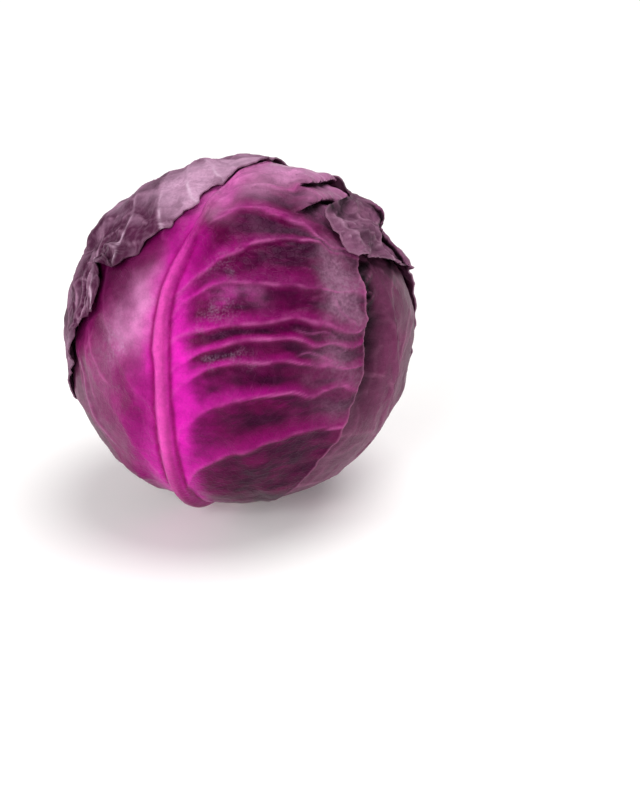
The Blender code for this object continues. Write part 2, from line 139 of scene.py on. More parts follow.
def bell(distance: Array, width: Array | float, power: float = 2.0) -> Array:
    """Bell curve: 1 in the middle and about a third at its width.

    Args:
        distance: from the middle.
        width: in the same unit.
        power: how flat the top and how steep the sides are.

    Returns:
        Values from 0 to 1.
    """
    return np.exp(-((distance / width) ** power))


def smooth_curve(points: Points | Array, position: Array) -> Array:
    """Catmull-Rom curve through points.

    Args:
        points: the points that the curve passes.
        position: places along it from 0 to 1, evenly shared among the points.

    Returns:
        The curve's points.
    """
    points = np.asarray(points, float)
    padded = np.vstack([2 * points[0] - points[1], points, 2 * points[-1] - points[-2]])
    place = np.clip(np.asarray(position, float), 0.0, 1.0) * (len(points) - 1)
    index = np.minimum(place.astype(int), len(points) - 2)
    t = (place - index)[..., None]
    a, b, c, d = (padded[index + shift] for shift in range(4))
    return 0.5 * (
        2 * b + (c - a) * t + (2 * a - 5 * b + 4 * c - d) * t**2 + (3 * b - a - 3 * c + d) * t**3
    )


def lengths(points: Array) -> Array:
    """Length along a polyline at each of its points."""
    return np.concatenate([[0.0], np.cumsum(np.hypot(*np.diff(points, axis=0).T))])


@dataclass
class Noise:
    """Seeded gradient noise on a plane, whose lattice repeats after SIZE steps."""

    SIZE: ClassVar[int] = 256
    GAIN: ClassVar[float] = 1.5
    seed: int

    def __post_init__(self) -> None:
        """Draw the lattice once."""
        rng = np.random.default_rng(self.seed)
        self.turn = rng.uniform(0.0, 2.0 * math.pi, self.SIZE)
        self.shuffle = rng.permutation(self.SIZE)

    def plain(self, x: Array, y: Array) -> Array:
        """One octave with features about one unit wide, from about -1 to 1."""
        ix, iy = np.floor(x).astype(int), np.floor(y).astype(int)
        fx, fy = x - ix, y - iy
        sx, sy = fx * fx * (3 - 2 * fx), fy * fy * (3 - 2 * fy)
        total, wrap = np.zeros(np.shape(x)), self.SIZE - 1
        for dx in (0, 1):
            for dy in (0, 1):
                turn = self.turn[self.shuffle[(self.shuffle[(ix + dx) & wrap] + iy + dy) & wrap]]
                slope = np.cos(turn) * (fx - dx) + np.sin(turn) * (fy - dy)
                total += slope * (sx if dx else 1 - sx) * (sy if dy else 1 - sy)
        return self.GAIN * total

    def fractal(self, x: Array, y: Array, octaves: int = 3) -> Array:
        """Several octaves, each half as wide and half as strong."""
        total, weight = np.zeros(np.shape(x)), 1.0
        for octave in range(octaves):
            scale = 2.0**octave
            total += weight * self.plain(x * scale + 17.0 * octave, y * scale - 9.0 * octave)
            weight *= 0.5
        return total

    def line(self, way: Array, span: float, row: float = 0.0, octaves: int = 1) -> Array:
        """Noise along a line, with features about one span long; each row is another draw."""
        return self.fractal(way / span, 0.0 * way + row, octaves)

    def creases(self, x: Array, y: Array, octaves: int = 2) -> Array:
        """Sharp-crested folds, 1 on the crests and 0 between them."""
        total, weight, whole = np.zeros(np.shape(x)), 1.0, 0.0
        for octave in range(octaves):
            scale = 1.9**octave
            crest = 1.0 - np.abs(self.plain(x * scale + 5.0 * octave, y * scale + 31.0 * octave))
            total += weight * np.clip(crest, 0.0, 1.0) ** 4
            whole += weight
            weight *= 0.55
        return total / whole


@dataclass(frozen=True)
class HeadForm:
    """Outer form that the wrapped head aims at.

    swells holds longitude, latitude, share of the radius and sharpness.
    """

    radius: float = HEAD_RADIUS
    swells: tuple[tuple[float, float, float, float], ...] = (
        (72.0, 36.0, 0.034, 6.0),
        (-56.0, 53.0, -0.028, 6.0),
        (0.0, -90.0, -0.055, 14.0),
        (-30.0, -45.0, 0.018, 8.0),
    )

    def reach(self, direction: Array) -> Array:
        """Radius along unit directions."""
        share = np.ones(direction.shape[:-1])
        for longitude, latitude, amount, sharpness in self.swells:
            toward = direction @ unit_direction(longitude, latitude)
            share = share + amount * np.exp(sharpness * (toward - 1.0))
        return self.radius * share


@dataclass(frozen=True)
class Fold:
    """A crease where the blade steps down and its lip rolls over the lower side.

    The blade is raised on the left of the line, seen along it.
    """

    line: Points
    height: float
    reach: float
    drop: float = 2.6
    overhang: float = 4.4


@dataclass(frozen=True)
class Ridge:
    """A raised or sunken line of the blade, pale along its crest."""

    line: Points
    height: float
    width: float
    pale: float = 0.0
    crest: float = 0.42


@dataclass(frozen=True)
class Swell:
    """A soft bulge or dent of the blade about a chart point."""

    x: float
    y: float
    height: float
    reach: float

    def over(self, x: Array, y: Array) -> Array:
        """Share of the height at chart points."""
        squared = (x - self.x) ** 2 + (y - self.y) ** 2
        return np.exp(-squared / (2.0 * self.reach**2))


@dataclass(frozen=True)
class Wrinkles(Swell):
    """Sharp-crested creases about a chart point, size degrees apart and pale on top."""

    size: float = 7.0
    pale: float = 0.7


@dataclass(frozen=True)
class Spot:
    """A soft oval patch of a mark on the blade."""

    mark: Mark
    x: float
    y: float
    amount: float
    wide: float
    tall: float

    def over(self, x: Array, y: Array) -> Array:
        """Strength of the patch at chart points."""
        squared = ((x - self.x) / self.wide) ** 2 + ((y - self.y) / self.tall) ** 2
        return self.amount * np.exp(-0.5 * squared)


def patches(mark: Mark, *values: tuple[float, ...]) -> tuple[Spot, ...]:
    """Spots of one mark, each as place, amount, width and height."""
    return tuple(Spot(mark, *each) for each in values)


@dataclass(frozen=True)
class LeafShape:
    """Outline and relief of one wrapper leaf, in chart degrees and metres.

    rows hold a left margin point, a midrib point and a right margin point, from the foot
    up, and top is the tip's own outline from left to right. Heights, widths of the
    midrib, lifts and the ruffle are in metres, and all that lies on the chart is in
    degrees. left_calm is the share of the side ribs that the left half keeps, and stir
    makes the ribs waver near the right margin.
    """

    name: str
    longitude: float
    foot_half_width: float
    rows: tuple[tuple[Pair, Pair, Pair], ...]
    seed: int
    top: Points = ()
    arch: Pair = (7.0, 9.0)
    side_ribs: int = 7
    rib_start: float = 0.16
    rib_end: float = 0.86
    ribs: tuple[Points, ...] = ()
    left_calm: float = 1.0
    stir: float = 0.0
    midrib_height: float = 0.0030
    midrib_width: float = 0.0050
    midrib_fade: Pair = (0.95, 0.35)
    rib_height: float = 0.0009
    facet_size: float = 11.0
    facet_height: float = 0.0006
    net_height: float = 0.00012
    ruffle: float = 0.00045
    margin_lift: tuple[float, float, float] = (0.0004, 0.0004, 0.0003)
    tooth_depth: float = 1.6
    tooth_pitch: float = 9.0
    top_teeth: bool = True
    swells: tuple[Swell, ...] = ()
    ridges: tuple[Ridge, ...] = ()
    folds: tuple[Fold, ...] = ()
    wrinkles: tuple[Wrinkles, ...] = ()
    cells: tuple[int, int] = (150, 170)
    row_pull: float = 0.0


class LeafChart:
    """Chart of a leaf: its axes, its outline and the net between them."""

    SAMPLES = 400
    RIB_SHIFT = 0.012
    ARCH_RISE = 4.0
    TIP_POWER = 4

    def __init__(self, shape: LeafShape) -> None:
        """Read the outline of a shape."""
        self.shape = shape
        lon = math.radians(shape.longitude)
        self.centre = unit_direction(shape.longitude, CHART_LATITUDE)
        self.east = np.array([math.cos(lon), math.sin(lon), 0.0])
        self.north = np.cross(self.centre, self.east)
        rows = [self.foot_row()] + list(shape.rows)
        self.margins = {Side.LEFT: [row[0] for row in rows], Side.RIGHT: [row[2] for row in rows]}
        self.rib = [row[1] for row in rows]
        length = lengths(smooth_curve(self.rib, np.linspace(0.0, 1.0, self.SAMPLES)))
        self.row_length = length / length[-1]
        self.top = self.split_top() if shape.top else {}

    def foot_row(self) -> list[tuple[float, float]]:
        """Left, midrib and right chart points round the stalk."""
        spread = np.array([-1.0, 0.0, 1.0]) * self.shape.foot_half_width
        foot = unit_direction(self.shape.longitude + spread, np.full(3, LEAF_FOOT_ANGLE - 90.0))
        return list(zip(*self.from_direction(foot)))

    def split_top(self) -> dict[Side, Array]:
        """The tip's outline from the midrib outwards, as fine polylines."""
        points = np.array(self.shape.top, float)
        tip = int(np.argmin(np.hypot(*(points - np.array(self.shape.rows[-1][1])).T)))
        fine = np.linspace(0.0, 1.0, 24 * len(points))
        left, right = smooth_curve(points[tip::-1], fine), smooth_curve(points[tip:], fine)
        return {Side.LEFT: left, Side.RIGHT: right}

    def to_direction(self, x: Array, y: Array) -> Array:
        """Unit directions of chart points."""
        reach = np.radians(np.hypot(x, y))
        along = np.where(reach > TINY, np.sin(reach) / np.maximum(reach, TINY), 1.0)
        return (
            np.cos(reach)[..., None] * self.centre
            + (along * np.radians(x))[..., None] * self.east
            + (along * np.radians(y))[..., None] * self.north
        )

    def from_direction(self, direction: Array) -> tuple[Array, Array]:
        """Chart points of unit directions."""
        reach = np.degrees(np.arccos(np.clip(direction @ self.centre, -1.0, 1.0)))
        turn = np.arctan2(direction @ self.east, direction @ self.north)
        return reach * np.sin(turn), reach * np.cos(turn)

    def loft(self, side: Side, column: Array, row: Array) -> Array:
        """Chart points of the plain loft, without the tip's own outline."""
        place = np.interp(row, self.row_length, np.linspace(0.0, 1.0, self.SAMPLES))
        rib = smooth_curve(self.rib, place)
        edge = smooth_curve(self.margins[side], place)
        left_arch, right_arch = self.shape.arch
        arch = left_arch if side is Side.LEFT else right_arch
        arch = arch * np.minimum(1.0, self.ARCH_RISE * row)
        net = rib + (edge - rib) * column[..., None]
        net[..., 1] += 4.0 * arch * (np.sqrt(column) - column)
        return net

    def point(self, side: Side, column: Array, row: Array) -> Array:
        """Chart points of the net.

        Args:
            side: the half of the leaf.
            column: 0 on the midrib to 1 on the margin.
            row: 0 at the foot to 1 at the tip.

        Returns:
            An array with a last axis of x and y.
        """
        net = self.loft(side, column, row)
        if side in self.top:
            line = self.top[side]
            length = lengths(line)
            wanted = column * length[-1]
            tip = np.stack([np.interp(wanted, length, line[:, k]) for k in (0, 1)], axis=-1)
            off = tip - self.loft(side, column, np.ones_like(row))
            net += off * (row**self.TIP_POWER)[..., None]
        return net

    def rib_lines(self) -> list[Array]:
        """Polylines of the side ribs, from the midrib to the margin."""
        if self.shape.ribs:
            return [smooth_curve(rib, np.linspace(0.0, 1.0, 24)) for rib in self.shape.ribs]
        lines = []
        shares = np.linspace(0.0, 1.0, 20)
        for start in np.linspace(self.shape.rib_start, self.shape.rib_end, self.shape.side_ribs):
            for side in Side:
                row = np.full(len(shares), start + self.RIB_SHIFT * side)
                lines.append(self.point(side, shares, row))
        return lines


@dataclass
class Net:
    """The fine net of a leaf, as grids with rows from foot to tip."""

    side: Array
    column: Array
    row: Array
    x: Array
    y: Array
    marks: dict[str, Array] = field(default_factory=dict)

    def edge_distance(self) -> tuple[Array, Array, Array]:
        """Distances in degrees to the nearest side margin, to the tip, and along the margin."""
        across = np.hypot(np.diff(self.x, axis=1), np.diff(self.y, axis=1))
        from_left = np.cumsum(np.pad(across, ((0, 0), (1, 0))), axis=1)
        from_right = from_left[:, -1:] - from_left
        up = np.hypot(np.diff(self.x, axis=0), np.diff(self.y, axis=0))
        from_foot = np.cumsum(np.pad(up, ((1, 0), (0, 0))), axis=0)
        from_tip = from_foot[-1:, :] - from_foot
        side_way = np.minimum(from_left, from_right)
        margin = np.where(self.side < 0, from_foot[:, :1], from_foot[:, -1:])
        tip_way = np.cumsum(np.pad(across[-1:], ((0, 0), (1, 0))), axis=1)
        along = np.where(side_way < from_tip, margin, tip_way)
        return side_way, from_tip, along


def near_line(x: Array, y: Array, line: Array, reach: float) -> tuple[Array, Array, Array]:
    """Nearest place on a polyline, for places within reach of it.

    Args:
        x: chart x of the places that ask.
        y: chart y of the places that ask.
        line: the polyline's points.
        reach: degrees within which the line is looked for.

    Returns:
        Distances in degrees, no more than reach; shares along the line; and hands,
        1 on its left and -1 on its right.
    """
    low, high = line.min(axis=0) - reach, line.max(axis=0) + reach
    inside = (x > low[0]) & (x < high[0]) & (y > low[1]) & (y < high[1])
    distance, share, hand = np.full(x.shape, float(reach)), np.zeros(x.shape), np.ones(x.shape)
    if inside.any():
        px, py = x[inside][:, None], y[inside][:, None]
        start, run = line[:-1], np.diff(line, axis=0)
        along = (px - start[:, 0]) * run[:, 0] + (py - start[:, 1]) * run[:, 1]
        t = np.clip(along / ((run**2).sum(axis=1) + 1e-12), 0.0, 1.0)
        dx, dy = px - start[:, 0] - t * run[:, 0], py - start[:, 1] - t * run[:, 1]
        gap = np.hypot(dx, dy)
        best = np.argmin(gap, axis=1)
        pick = (np.arange(len(best)), best)
        distance[inside] = np.minimum(gap[pick], reach)
        share[inside] = (best + t[pick]) / (len(line) - 1)
        turn = run[best, 0] * dy[pick] - run[best, 1] * dx[pick]
        hand[inside] = np.where(turn >= 0.0, 1.0, -1.0)
    return distance, share, hand


def cell_walls(x: Array, y: Array, size: float, seed: int) -> tuple[Array, Array]:
    """Irregular polygonal cells over the chart.

    Args:
        x: chart x.
        y: chart y.
        size: mean width of a cell in degrees.
        seed: draws the cells' middles.

    Returns:
        Distance to the nearest wall between cells, and a random value of the cell.
    """
    stray, count = 0.42, 64
    jitter = np.random.default_rng(seed).uniform(-stray, stray, (count, count, 2))
    column, row = np.floor(x / size).astype(int), np.floor(y / size).astype(int)
    first, second = np.full(x.shape, 1e9), np.full(x.shape, 1e9)
    tone = np.zeros(x.shape)
    for across in (-1, 0, 1):
        for up in (-1, 0, 1):
            place = jitter[(column + across) % count, (row + up) % count]
            gap = np.hypot(
                x - (column + across + 0.5 + place[..., 0]) * size,
                y - (row + up + 0.5 + place[..., 1]) * size,
            )
            closer = gap < first
            second = np.where(closer, first, np.minimum(second, gap))
            tone = np.where(closer, place[..., 0] / stray, tone)
            first = np.where(closer, gap, first)
    return 0.5 * (second - first), tone


@dataclass
class RibField:
    """Where each place of a leaf lies among its side ribs.

    below and above are distances to the next ribs; length tells how far along the rib
    below a place is, and number is that rib's own; nearest_share is the share of the way
    along the nearest rib.
    """

    below: Array
    above: Array
    length: Array
    number: Array
    nearest_share: Array

    @classmethod
    def of(cls, x: Array, y: Array, lines: list[Array], reach: float) -> "RibField":
        """Read the field of some ribs.

        Args:
            x: chart x of the places.
            y: chart y of the places.
            lines: each rib from the midrib outwards.
            reach: degrees within which a rib counts.

        Returns:
            The field.
        """
        below, above = np.full(x.shape, float(reach)), np.full(x.shape, float(reach))
        length, number, nearest = np.zeros(x.shape), np.zeros(x.shape, int), np.zeros(x.shape)
        closest = np.full(x.shape, float(reach))
        for index, line in enumerate(lines):
            way = 1.0 if line[-1, 0] > line[0, 0] else -1.0
            distance, along, hand = near_line(x, y, line, reach)
            over = (hand * way > 0.0) & (distance < below)
            below = np.where(over, distance, below)
            length = np.where(over, along * lengths(line)[-1], length)
            number = np.where(over, index + 1, number)
            above = np.where((hand * way <= 0.0) & (distance < above), distance, above)
            nearest = np.where(distance < closest, along, nearest)
            closest = np.minimum(distance, closest)
        return cls(below, above, length, number, nearest)


class Relief:
    """Ribs, folds, facets and margins of a leaf, read from its shape.

    Reaches, widths and spans are in chart degrees. A ramp holds the values at which a
    smooth step starts and ends. A drift is the strength and the span of a noise. Numbers
    added to a place only pick another stretch of the noise.
    """

    TOOTH_REACH = 3.0
    PITCH_DRIFT = (0.22, 14.0)
    DEPTH_DRIFT = (0.4, 2.3)
    MEAN_DEPTH = 0.75
    BAY_BEND = 0.6
    BAY_RISE = 7.0
    FRAY = (0.28, 2.6)
    FOOT_RAMP = (0.03, 0.12)

    MIDRIB_REACH = 60.0
    MIDRIB_THINNING = (0.80, 0.88)
    MIDRIB_SWELL = 0.05
    MIDRIB_WAVES = 9.0
    MIDRIB_RISE_RAMP = (-0.04, 0.10)
    MIDRIB_ROUND = 0.65
    GROOVE_PLACE = 1.35
    GROOVE_DEPTH = 0.14
    SHADED_FLANK_RAMP = (-0.25, 0.95)
    GLOW_SPREAD = (6.5, 5.0)

    RIB_REACH = 11.0
    RIB_WAVER = (0.8, 9.0)
    STIR_RAMP = (30.0, 52.0)
    SLOW_SIDE = 2.6
    STEEP_SIDE = 1.20
    CREST_WIDTH = 0.60
    CLEAR_RAMP = (0.9, 0.1)
    STREAK = (0.40, 7.0, 1.7)

    BEND = (0.32, 11.0)
    FACET_CLOUD = (0.30, 14.0)
    CELL_SIZE = 4.2
    CELL_WAVER = (0.8, 5.0)
    LADDER_WIDTH = 0.50
    WALL_WIDTH = 0.35
    PLATE_DRAWS = 257

    LIP_SHARE = 0.25
    ROLL_REACH = 3.0
    MARGIN_REACH = 3.2
    RIM_WIDTH = 0.40
    RIPPLE = (0.65, 7.0)

    def __init__(self, chart: LeafChart) -> None:
        """Keep the chart and the noise of one leaf."""
        self.chart = chart
        self.shape = chart.shape
        self.noise = Noise(chart.shape.seed)
        self.from_midrib = np.zeros(0)

    def teeth(self, net: Net) -> None:
        """Draw the margins in between their teeth, and fray them a little."""
        side_way, from_tip, along = net.edge_distance()
        drift, span = self.PITCH_DRIFT
        phase = along / self.shape.tooth_pitch + drift * self.noise.line(along, span, 3.0)
        share = phase - np.floor(phase)
        bay = (1.0 - share) ** self.BAY_BEND * np.minimum(1.0, self.BAY_RISE * share)
        drift, span = self.DEPTH_DRIFT
        depth = self.shape.tooth_depth * (self.MEAN_DEPTH + drift * self.noise.line(phase, span))
        drift, span = self.FRAY
        fray = drift * self.noise.line(along, span, 11.0, 2)
        draw = (depth * bay + fray) * smooth_step(net.row, *self.FOOT_RAMP)
        net.x = net.x - net.side * draw * np.exp(-side_way / self.TOOTH_REACH)
        top = fray + (depth * bay if self.shape.top_teeth else 0.0)
        inner = smooth_step(side_way, 0.0, self.TOOTH_REACH)
        net.y = net.y - top * np.exp(-from_tip / self.TOOTH_REACH) * inner

    def midrib(self, net: Net) -> Array:
        """Height of the midrib with the grooves beside it, and their marks."""
        shape = self.shape
        line = smooth_curve(self.chart.rib, np.linspace(0.0, 1.0, 90))
        distance, share, hand = near_line(net.x, net.y, line, self.MIDRIB_REACH)
        samples = np.linspace(0.0, 1.0, self.chart.SAMPLES)
        row = np.interp(share, samples, self.chart.row_length)
        narrowing, sinking = self.MIDRIB_THINNING
        width = shape.midrib_width * (1.0 - narrowing * row) / DEGREE
        width = width * (1.0 + self.MIDRIB_SWELL * self.noise.line(self.MIDRIB_WAVES * row, 1.0))
        rise = shape.midrib_height * (1.0 - sinking * row)
        rise = rise * smooth_step(row, *self.MIDRIB_RISE_RAMP)
        rounded = np.sqrt(np.clip(1.0 - (0.72 * distance / width) ** 2, 0.0, 1.0))
        rounded = 1.0 - self.MIDRIB_ROUND + self.MIDRIB_ROUND * rounded
        groove = bell(distance - self.GROOVE_PLACE * width, 0.30 * width + 0.25)
        fade = smooth_step(row, *shape.midrib_fade)
        net.marks["midrib"] = bell(distance, 1.02 * width, 6) * fade
        # Darker in the grooves beside the midrib: partly the leaf's own deeper colour, partly
        # painted shade in the groove.
        net.marks["groove"] = groove * fade
        # Painted shade on the side of the midrib turned away from the light.
        net.marks["flank"] = smooth_step(-hand * distance / width, *self.SHADED_FLANK_RAMP)
        spread = np.where(hand > 0, *self.GLOW_SPREAD)
        net.marks["glow"] = bell(distance, 2.2 * width + spread)
        self.from_midrib = distance
        return rise * bell(distance, width, 4) * rounded - self.GROOVE_DEPTH * rise * groove

    def side_ribs(self, net: Net) -> Array:
        """Height of the side ribs, steep below and slow above, and of the facets between."""
        shape = self.shape
        waver, span = self.RIB_WAVER
        waver = waver + shape.stir * smooth_step(net.x, *self.STIR_RAMP)
        x = net.x + waver * self.noise.plain(net.x / span, net.y / span)
        y = net.y + waver * self.noise.plain(net.x / span + 40.0, net.y / span)
        ribs = RibField.of(x, y, self.chart.rib_lines(), self.RIB_REACH)
        upward = ribs.below / (ribs.below + ribs.above + TINY)
        clear = smooth_step(net.marks["midrib"], *self.CLEAR_RAMP)
        calm = np.where(net.side < 0, shape.left_calm, 1.0)
        self.mark_ribs(net, ribs, upward, clear, calm)
        taper = 1.0 - 0.5 * ribs.nearest_share
        rise = np.maximum(bell(ribs.below, self.SLOW_SIDE), bell(ribs.above, self.STEEP_SIDE))
        height = shape.rib_height * taper * rise * calm
        return clear * height + clear * self.facets(net, ribs, upward)

    def mark_ribs(self, net: Net, ribs: RibField, upward: Array, clear: Array, calm: Array) -> None:
        """Mark the pale crests, the vivid slopes above them and the dark bands below the next rib.
        The slopes are partly painted light on each rib's lit upper flank; the bands are partly
        painted shade under the next rib, and their dark cores are painted shade.

        Args:
            net: the leaf's net.
            ribs: where each place lies among the side ribs.
            upward: share of the way from the rib below to the rib above.
            clear: 0 on the midrib and 1 off it.
            calm: strength of the side ribs.
        """
        off_midrib = self.from_midrib
        patchy = smooth_step(self.noise.fractal(net.x / 7.0, net.y / 7.0, 2), -0.35, 0.45)
        outward = 0.6 + 0.9 * smooth_step(ribs.nearest_share, 0.35, 0.8)
        crest = bell(np.minimum(ribs.below, ribs.above), self.CREST_WIDTH)
        net.marks["rib"] = crest * clear * (0.25 + 0.75 * patchy) * calm * outward
        drift, wide, tall = self.STREAK
        streak = 1.0 + drift * self.noise.fractal(net.x / wide + 20.0, net.y / tall, 3)
        # Vivid colour just above each rib: partly the leaf's own colour, partly painted light on
        # the rib's lit flank.
        slope = np.exp(-ribs.below / 2.8 - off_midrib / 22.0)
        net.marks["slope"] = slope * clear * calm * streak
        # Dark band under the next rib: partly the leaf's own colour, partly painted shade.
        band = smooth_step(upward, 0.10, 0.46) * smooth_step(ribs.above, 0.1, 0.8)
        net.marks["band"] = band * smooth_step(off_midrib, 5.0, 13.0) * streak * calm
        # Its darkest core: painted shade under the rib.
        core = smooth_step(upward, 0.26, 0.48) * smooth_step(ribs.above, 0.7, 2.2)
        cloud = smooth_step(self.noise.fractal(net.x / 13.0 + 3.0, net.y / 6.0, 3), -0.9, 0.4)
        net.marks["core"] = core * cloud * smooth_step(off_midrib, 8.0, 20.0) * calm * streak

    def facets(self, net: Net, ribs: RibField, upward: Array) -> Array:
        """Flat plates between the ribs and the cross veins that join them, with painted light and
        shade on each plate.

        A plate that is flat stands above the round head by its distance from its own
        middle squared, over the head's diameter.

        Args:
            net: the leaf's net.
            ribs: where each place lies among the side ribs.
            upward: share of the way from the rib below to the rib above.

        Returns:
            Heights in metres.
        """
        shape, draws = self.shape, self.PLATE_DRAWS
        jitter = np.random.default_rng(shape.seed + 1).uniform(-1.0, 1.0, (draws, 3))
        drift, span = self.BEND
        bend = drift * self.noise.plain(net.x / span, net.y / span)
        offset = jitter[ribs.number % draws, 0]
        phase = ribs.length / shape.facet_size + offset + (bend + 0.30 * offset * upward)
        step = np.floor(phase).astype(int)
        share = phase - step
        plate = jitter[(step * 31 + ribs.number * 7) % draws]
        between = ribs.below + ribs.above
        inside = smooth_step(between, 2.2 * self.RIB_REACH, 1.7 * self.RIB_REACH)
        off_rib = 1.0 - bell(np.minimum(ribs.below, ribs.above), 1.4)
        across = (2.0 * upward - 1.0) ** 2 * (0.5 * between) ** 2
        along = (0.33 + ((2.0 * share - 1.0) ** 2 - 0.33) * off_rib) * (0.5 * shape.facet_size) ** 2
        bow = (across + along) * DEGREE**2 / (2.0 * HEAD_RADIUS)
        window = np.minimum(1.0, 5.0 * np.minimum(upward, 1.0 - upward))
        window = window * np.minimum(1.0, 5.0 * np.minimum(share, 1.0 - share))
        tilt = (plate[..., 0] * (upward - 0.5) + plate[..., 1] * (share - 0.5)) * window
        tone = self.mark_veins(net, share, inside)
        slow = smooth_step(np.abs(share - 0.5), 0.5, 0.25)
        # Painted light and shade: each plate lighter towards the rib below and towards one end,
        # with random tone per plate.
        shaded = 0.50 * (0.5 - upward) + 0.45 * (0.5 - share) * slow + 0.24 * plate[..., 2] * slow
        drift, span = self.FACET_CLOUD
        clouds = drift * self.noise.fractal(net.x / span + 70.0, net.y / span, 3)
        net.marks["facet"] = np.clip(0.46 + 1.15 * shaded * inside + 0.06 * tone + clouds, 0.0, 1.0)
        veins = shape.net_height * (net.marks["net"] + 0.5 * net.marks["fine_net"])
        return inside * (bow + shape.facet_height * tilt) + veins

    def mark_veins(self, net: Net, share: Array, inside: Array) -> Array:
        """Mark the cross veins and the finest ones.

        Args:
            net: the leaf's net.
            share: share of the way along a plate.
            inside: 1 between two ribs.

        Returns:
            A random value of each small cell.
        """
        drift, span = self.CELL_WAVER
        waver = drift * self.noise.plain(net.x / span, net.y / span)
        wall, tone = cell_walls(net.x + waver, net.y, self.CELL_SIZE, self.shape.seed + 2)
        ladder = np.minimum(share, 1.0 - share) * self.shape.facet_size
        net.marks["net"] = bell(ladder, self.LADDER_WIDTH) * inside
        net.marks["fine_net"] = bell(wall, self.WALL_WIDTH)
        return tone

    def creases(self, net: Net) -> Array:
        """Swells, ridges, wrinkles and the general unevenness of the blade."""
        height = self.shape.ruffle * self.noise.fractal(net.x / 13.0, net.y / 13.0, 3)
        height *= 1.0 - net.marks["midrib"]
        for swell in self.shape.swells:
            height += swell.height * swell.over(net.x, net.y)
        for ridge in self.shape.ridges:
            line = smooth_curve(ridge.line, np.linspace(0.0, 1.0, 30))
            distance, share, _ = near_line(net.x, net.y, line, 3.0 * ridge.width + 2.0)
            ends = smooth_step(share, -0.05, 0.2) * smooth_step(share, 1.05, 0.8)
            height += ridge.height * ends * bell(distance, ridge.width)
            pale = ridge.pale * ends * bell(distance, ridge.crest)
            net.marks["rib"] = np.maximum(net.marks["rib"], pale)
        for patch in self.shape.wrinkles:
            within = patch.over(net.x, net.y)
            fold = self.noise.creases(net.x / patch.size, net.y / patch.size, 3)
            height += patch.height * within * fold
            pale = patch.pale * within * smooth_step(fold, 0.62, 0.92)
            net.marks["rib"] = np.maximum(net.marks["rib"], pale)
        return height

    def folds(self, net: Net) -> Array:
        """Steps of the blade; the lip rolls over the lower side, which gets a mark of painted
        shade.
        """
        height, shade = np.zeros(net.x.shape), np.zeros(net.x.shape)
        shift_x, shift_y = np.zeros(net.x.shape), np.zeros(net.x.shape)
        for fold in self.shape.folds:
            line = smooth_curve(fold.line, np.linspace(0.0, 1.0, 40))
            distance, share, hand = near_line(net.x, net.y, line, 2.6 * fold.reach)
            ends = smooth_step(share, 0.0, 0.25) * smooth_step(share, 1.0, 0.88)
            past = np.where(hand > 0, distance, -distance) - fold.overhang * ends
            behind, ahead = np.maximum(past, 0.0), np.maximum(-past, 0.0)
            fade = smooth_step(distance, 2.6 * fold.reach, 1.6 * fold.reach)
            upper = bell(behind, fold.reach) * (past > 0) * fade
            near = smooth_step(ahead, fold.drop, 0.0)
            lip = self.LIP_SHARE * bell(behind - 1.5, 2.2) * (past > 0)
            height += fold.height * ends * (upper + near * (past <= 0) + lip)
            roll = ends * fold.overhang * near * np.exp(-behind / self.ROLL_REACH)
            runs = np.diff(line, axis=0)
            run = runs[np.minimum((share * len(runs)).astype(int), len(runs) - 1)]
            size = np.hypot(run[..., 0], run[..., 1]) + TINY
            shift_x += roll * run[..., 1] / size
            shift_y -= roll * run[..., 0] / size
            # Painted shade in the pocket under the lip.
            pocket_shade = smooth_step(ahead, 0.25, 0.9)
            pocket_shade = pocket_shade * smooth_step(ahead, fold.overhang + 4.0, fold.drop)
            shade = np.maximum(shade, ends * pocket_shade)
        net.x, net.y = net.x + shift_x, net.y + shift_y
        net.marks["pocket_shade"] = shade
        return height

    def margins(self, net: Net) -> Array:
        """Lifted and rippled margins, and the marks of the rim."""
        side_way, from_tip, along = net.edge_distance()
        left, right, top = self.shape.margin_lift
        lift = np.where(net.side < 0, left, right)
        drift, span = self.RIPPLE
        ripple = 1.0 + drift * self.noise.line(along, span, 0.0, 2)
        height = lift * ripple * np.exp(-side_way / self.MARGIN_REACH)
        height *= smooth_step(net.row, 0.06, 0.25)
        height += top * ripple * np.exp(-from_tip / self.MARGIN_REACH)
        net.marks["rim"] = bell(np.minimum(side_way, from_tip), self.RIM_WIDTH)
        return height

    def carve(self, net: Net) -> Array:
        """Shape the net and give its height above the plain blade.

        Args:
            net: the leaf's net, whose chart points are moved and marks filled in.

        Returns:
            Heights in metres.
        """
        self.teeth(net)
        height = self.midrib(net)
        height = height + self.side_ribs(net)
        height = height + self.creases(net)
        height = height + self.margins(net)
        return height + self.folds(net)


def make_net(chart: LeafChart, across: Array, up: Array) -> Net:
    """Net of a leaf.

    Args:
        chart: the leaf's chart.
        across: places from -1, the left margin, to 1, the right margin.
        up: rows from 0 to 1.

    Returns:
        The net, without relief.
    """
    row, place = np.meshgrid(up, across, indexing="ij")
    column, side = np.abs(place), np.where(place < 0, Side.LEFT, Side.RIGHT)
    left, right = (chart.point(half, column, row) for half in Side)
    points = np.where((side < 0)[..., None], left, right)
    return Net(side, column, row, points[..., 0], points[..., 1])


def denser_ends(places: Array, amount: float) -> Array:
    """Places from 0 to 1 drawn towards both ends."""
    return places - amount * np.sin(2.0 * math.pi * places) / (2.0 * math.pi)


def box_blur(grid: Array, reach: int) -> Array:
    """Mean over a square window, edges repeated."""
    size = 2 * reach + 1
    for axis in (0, 1):
        widths = [(reach + 1, reach) if k == axis else (0, 0) for k in (0, 1)]
        total = np.cumsum(np.pad(grid, widths, "edge"), axis=axis)
        count = grid.shape[axis]
        high = np.take(total, range(size, size + count), axis)
        low = np.take(total, range(0, count), axis)
        grid = (high - low) / size
    return grid


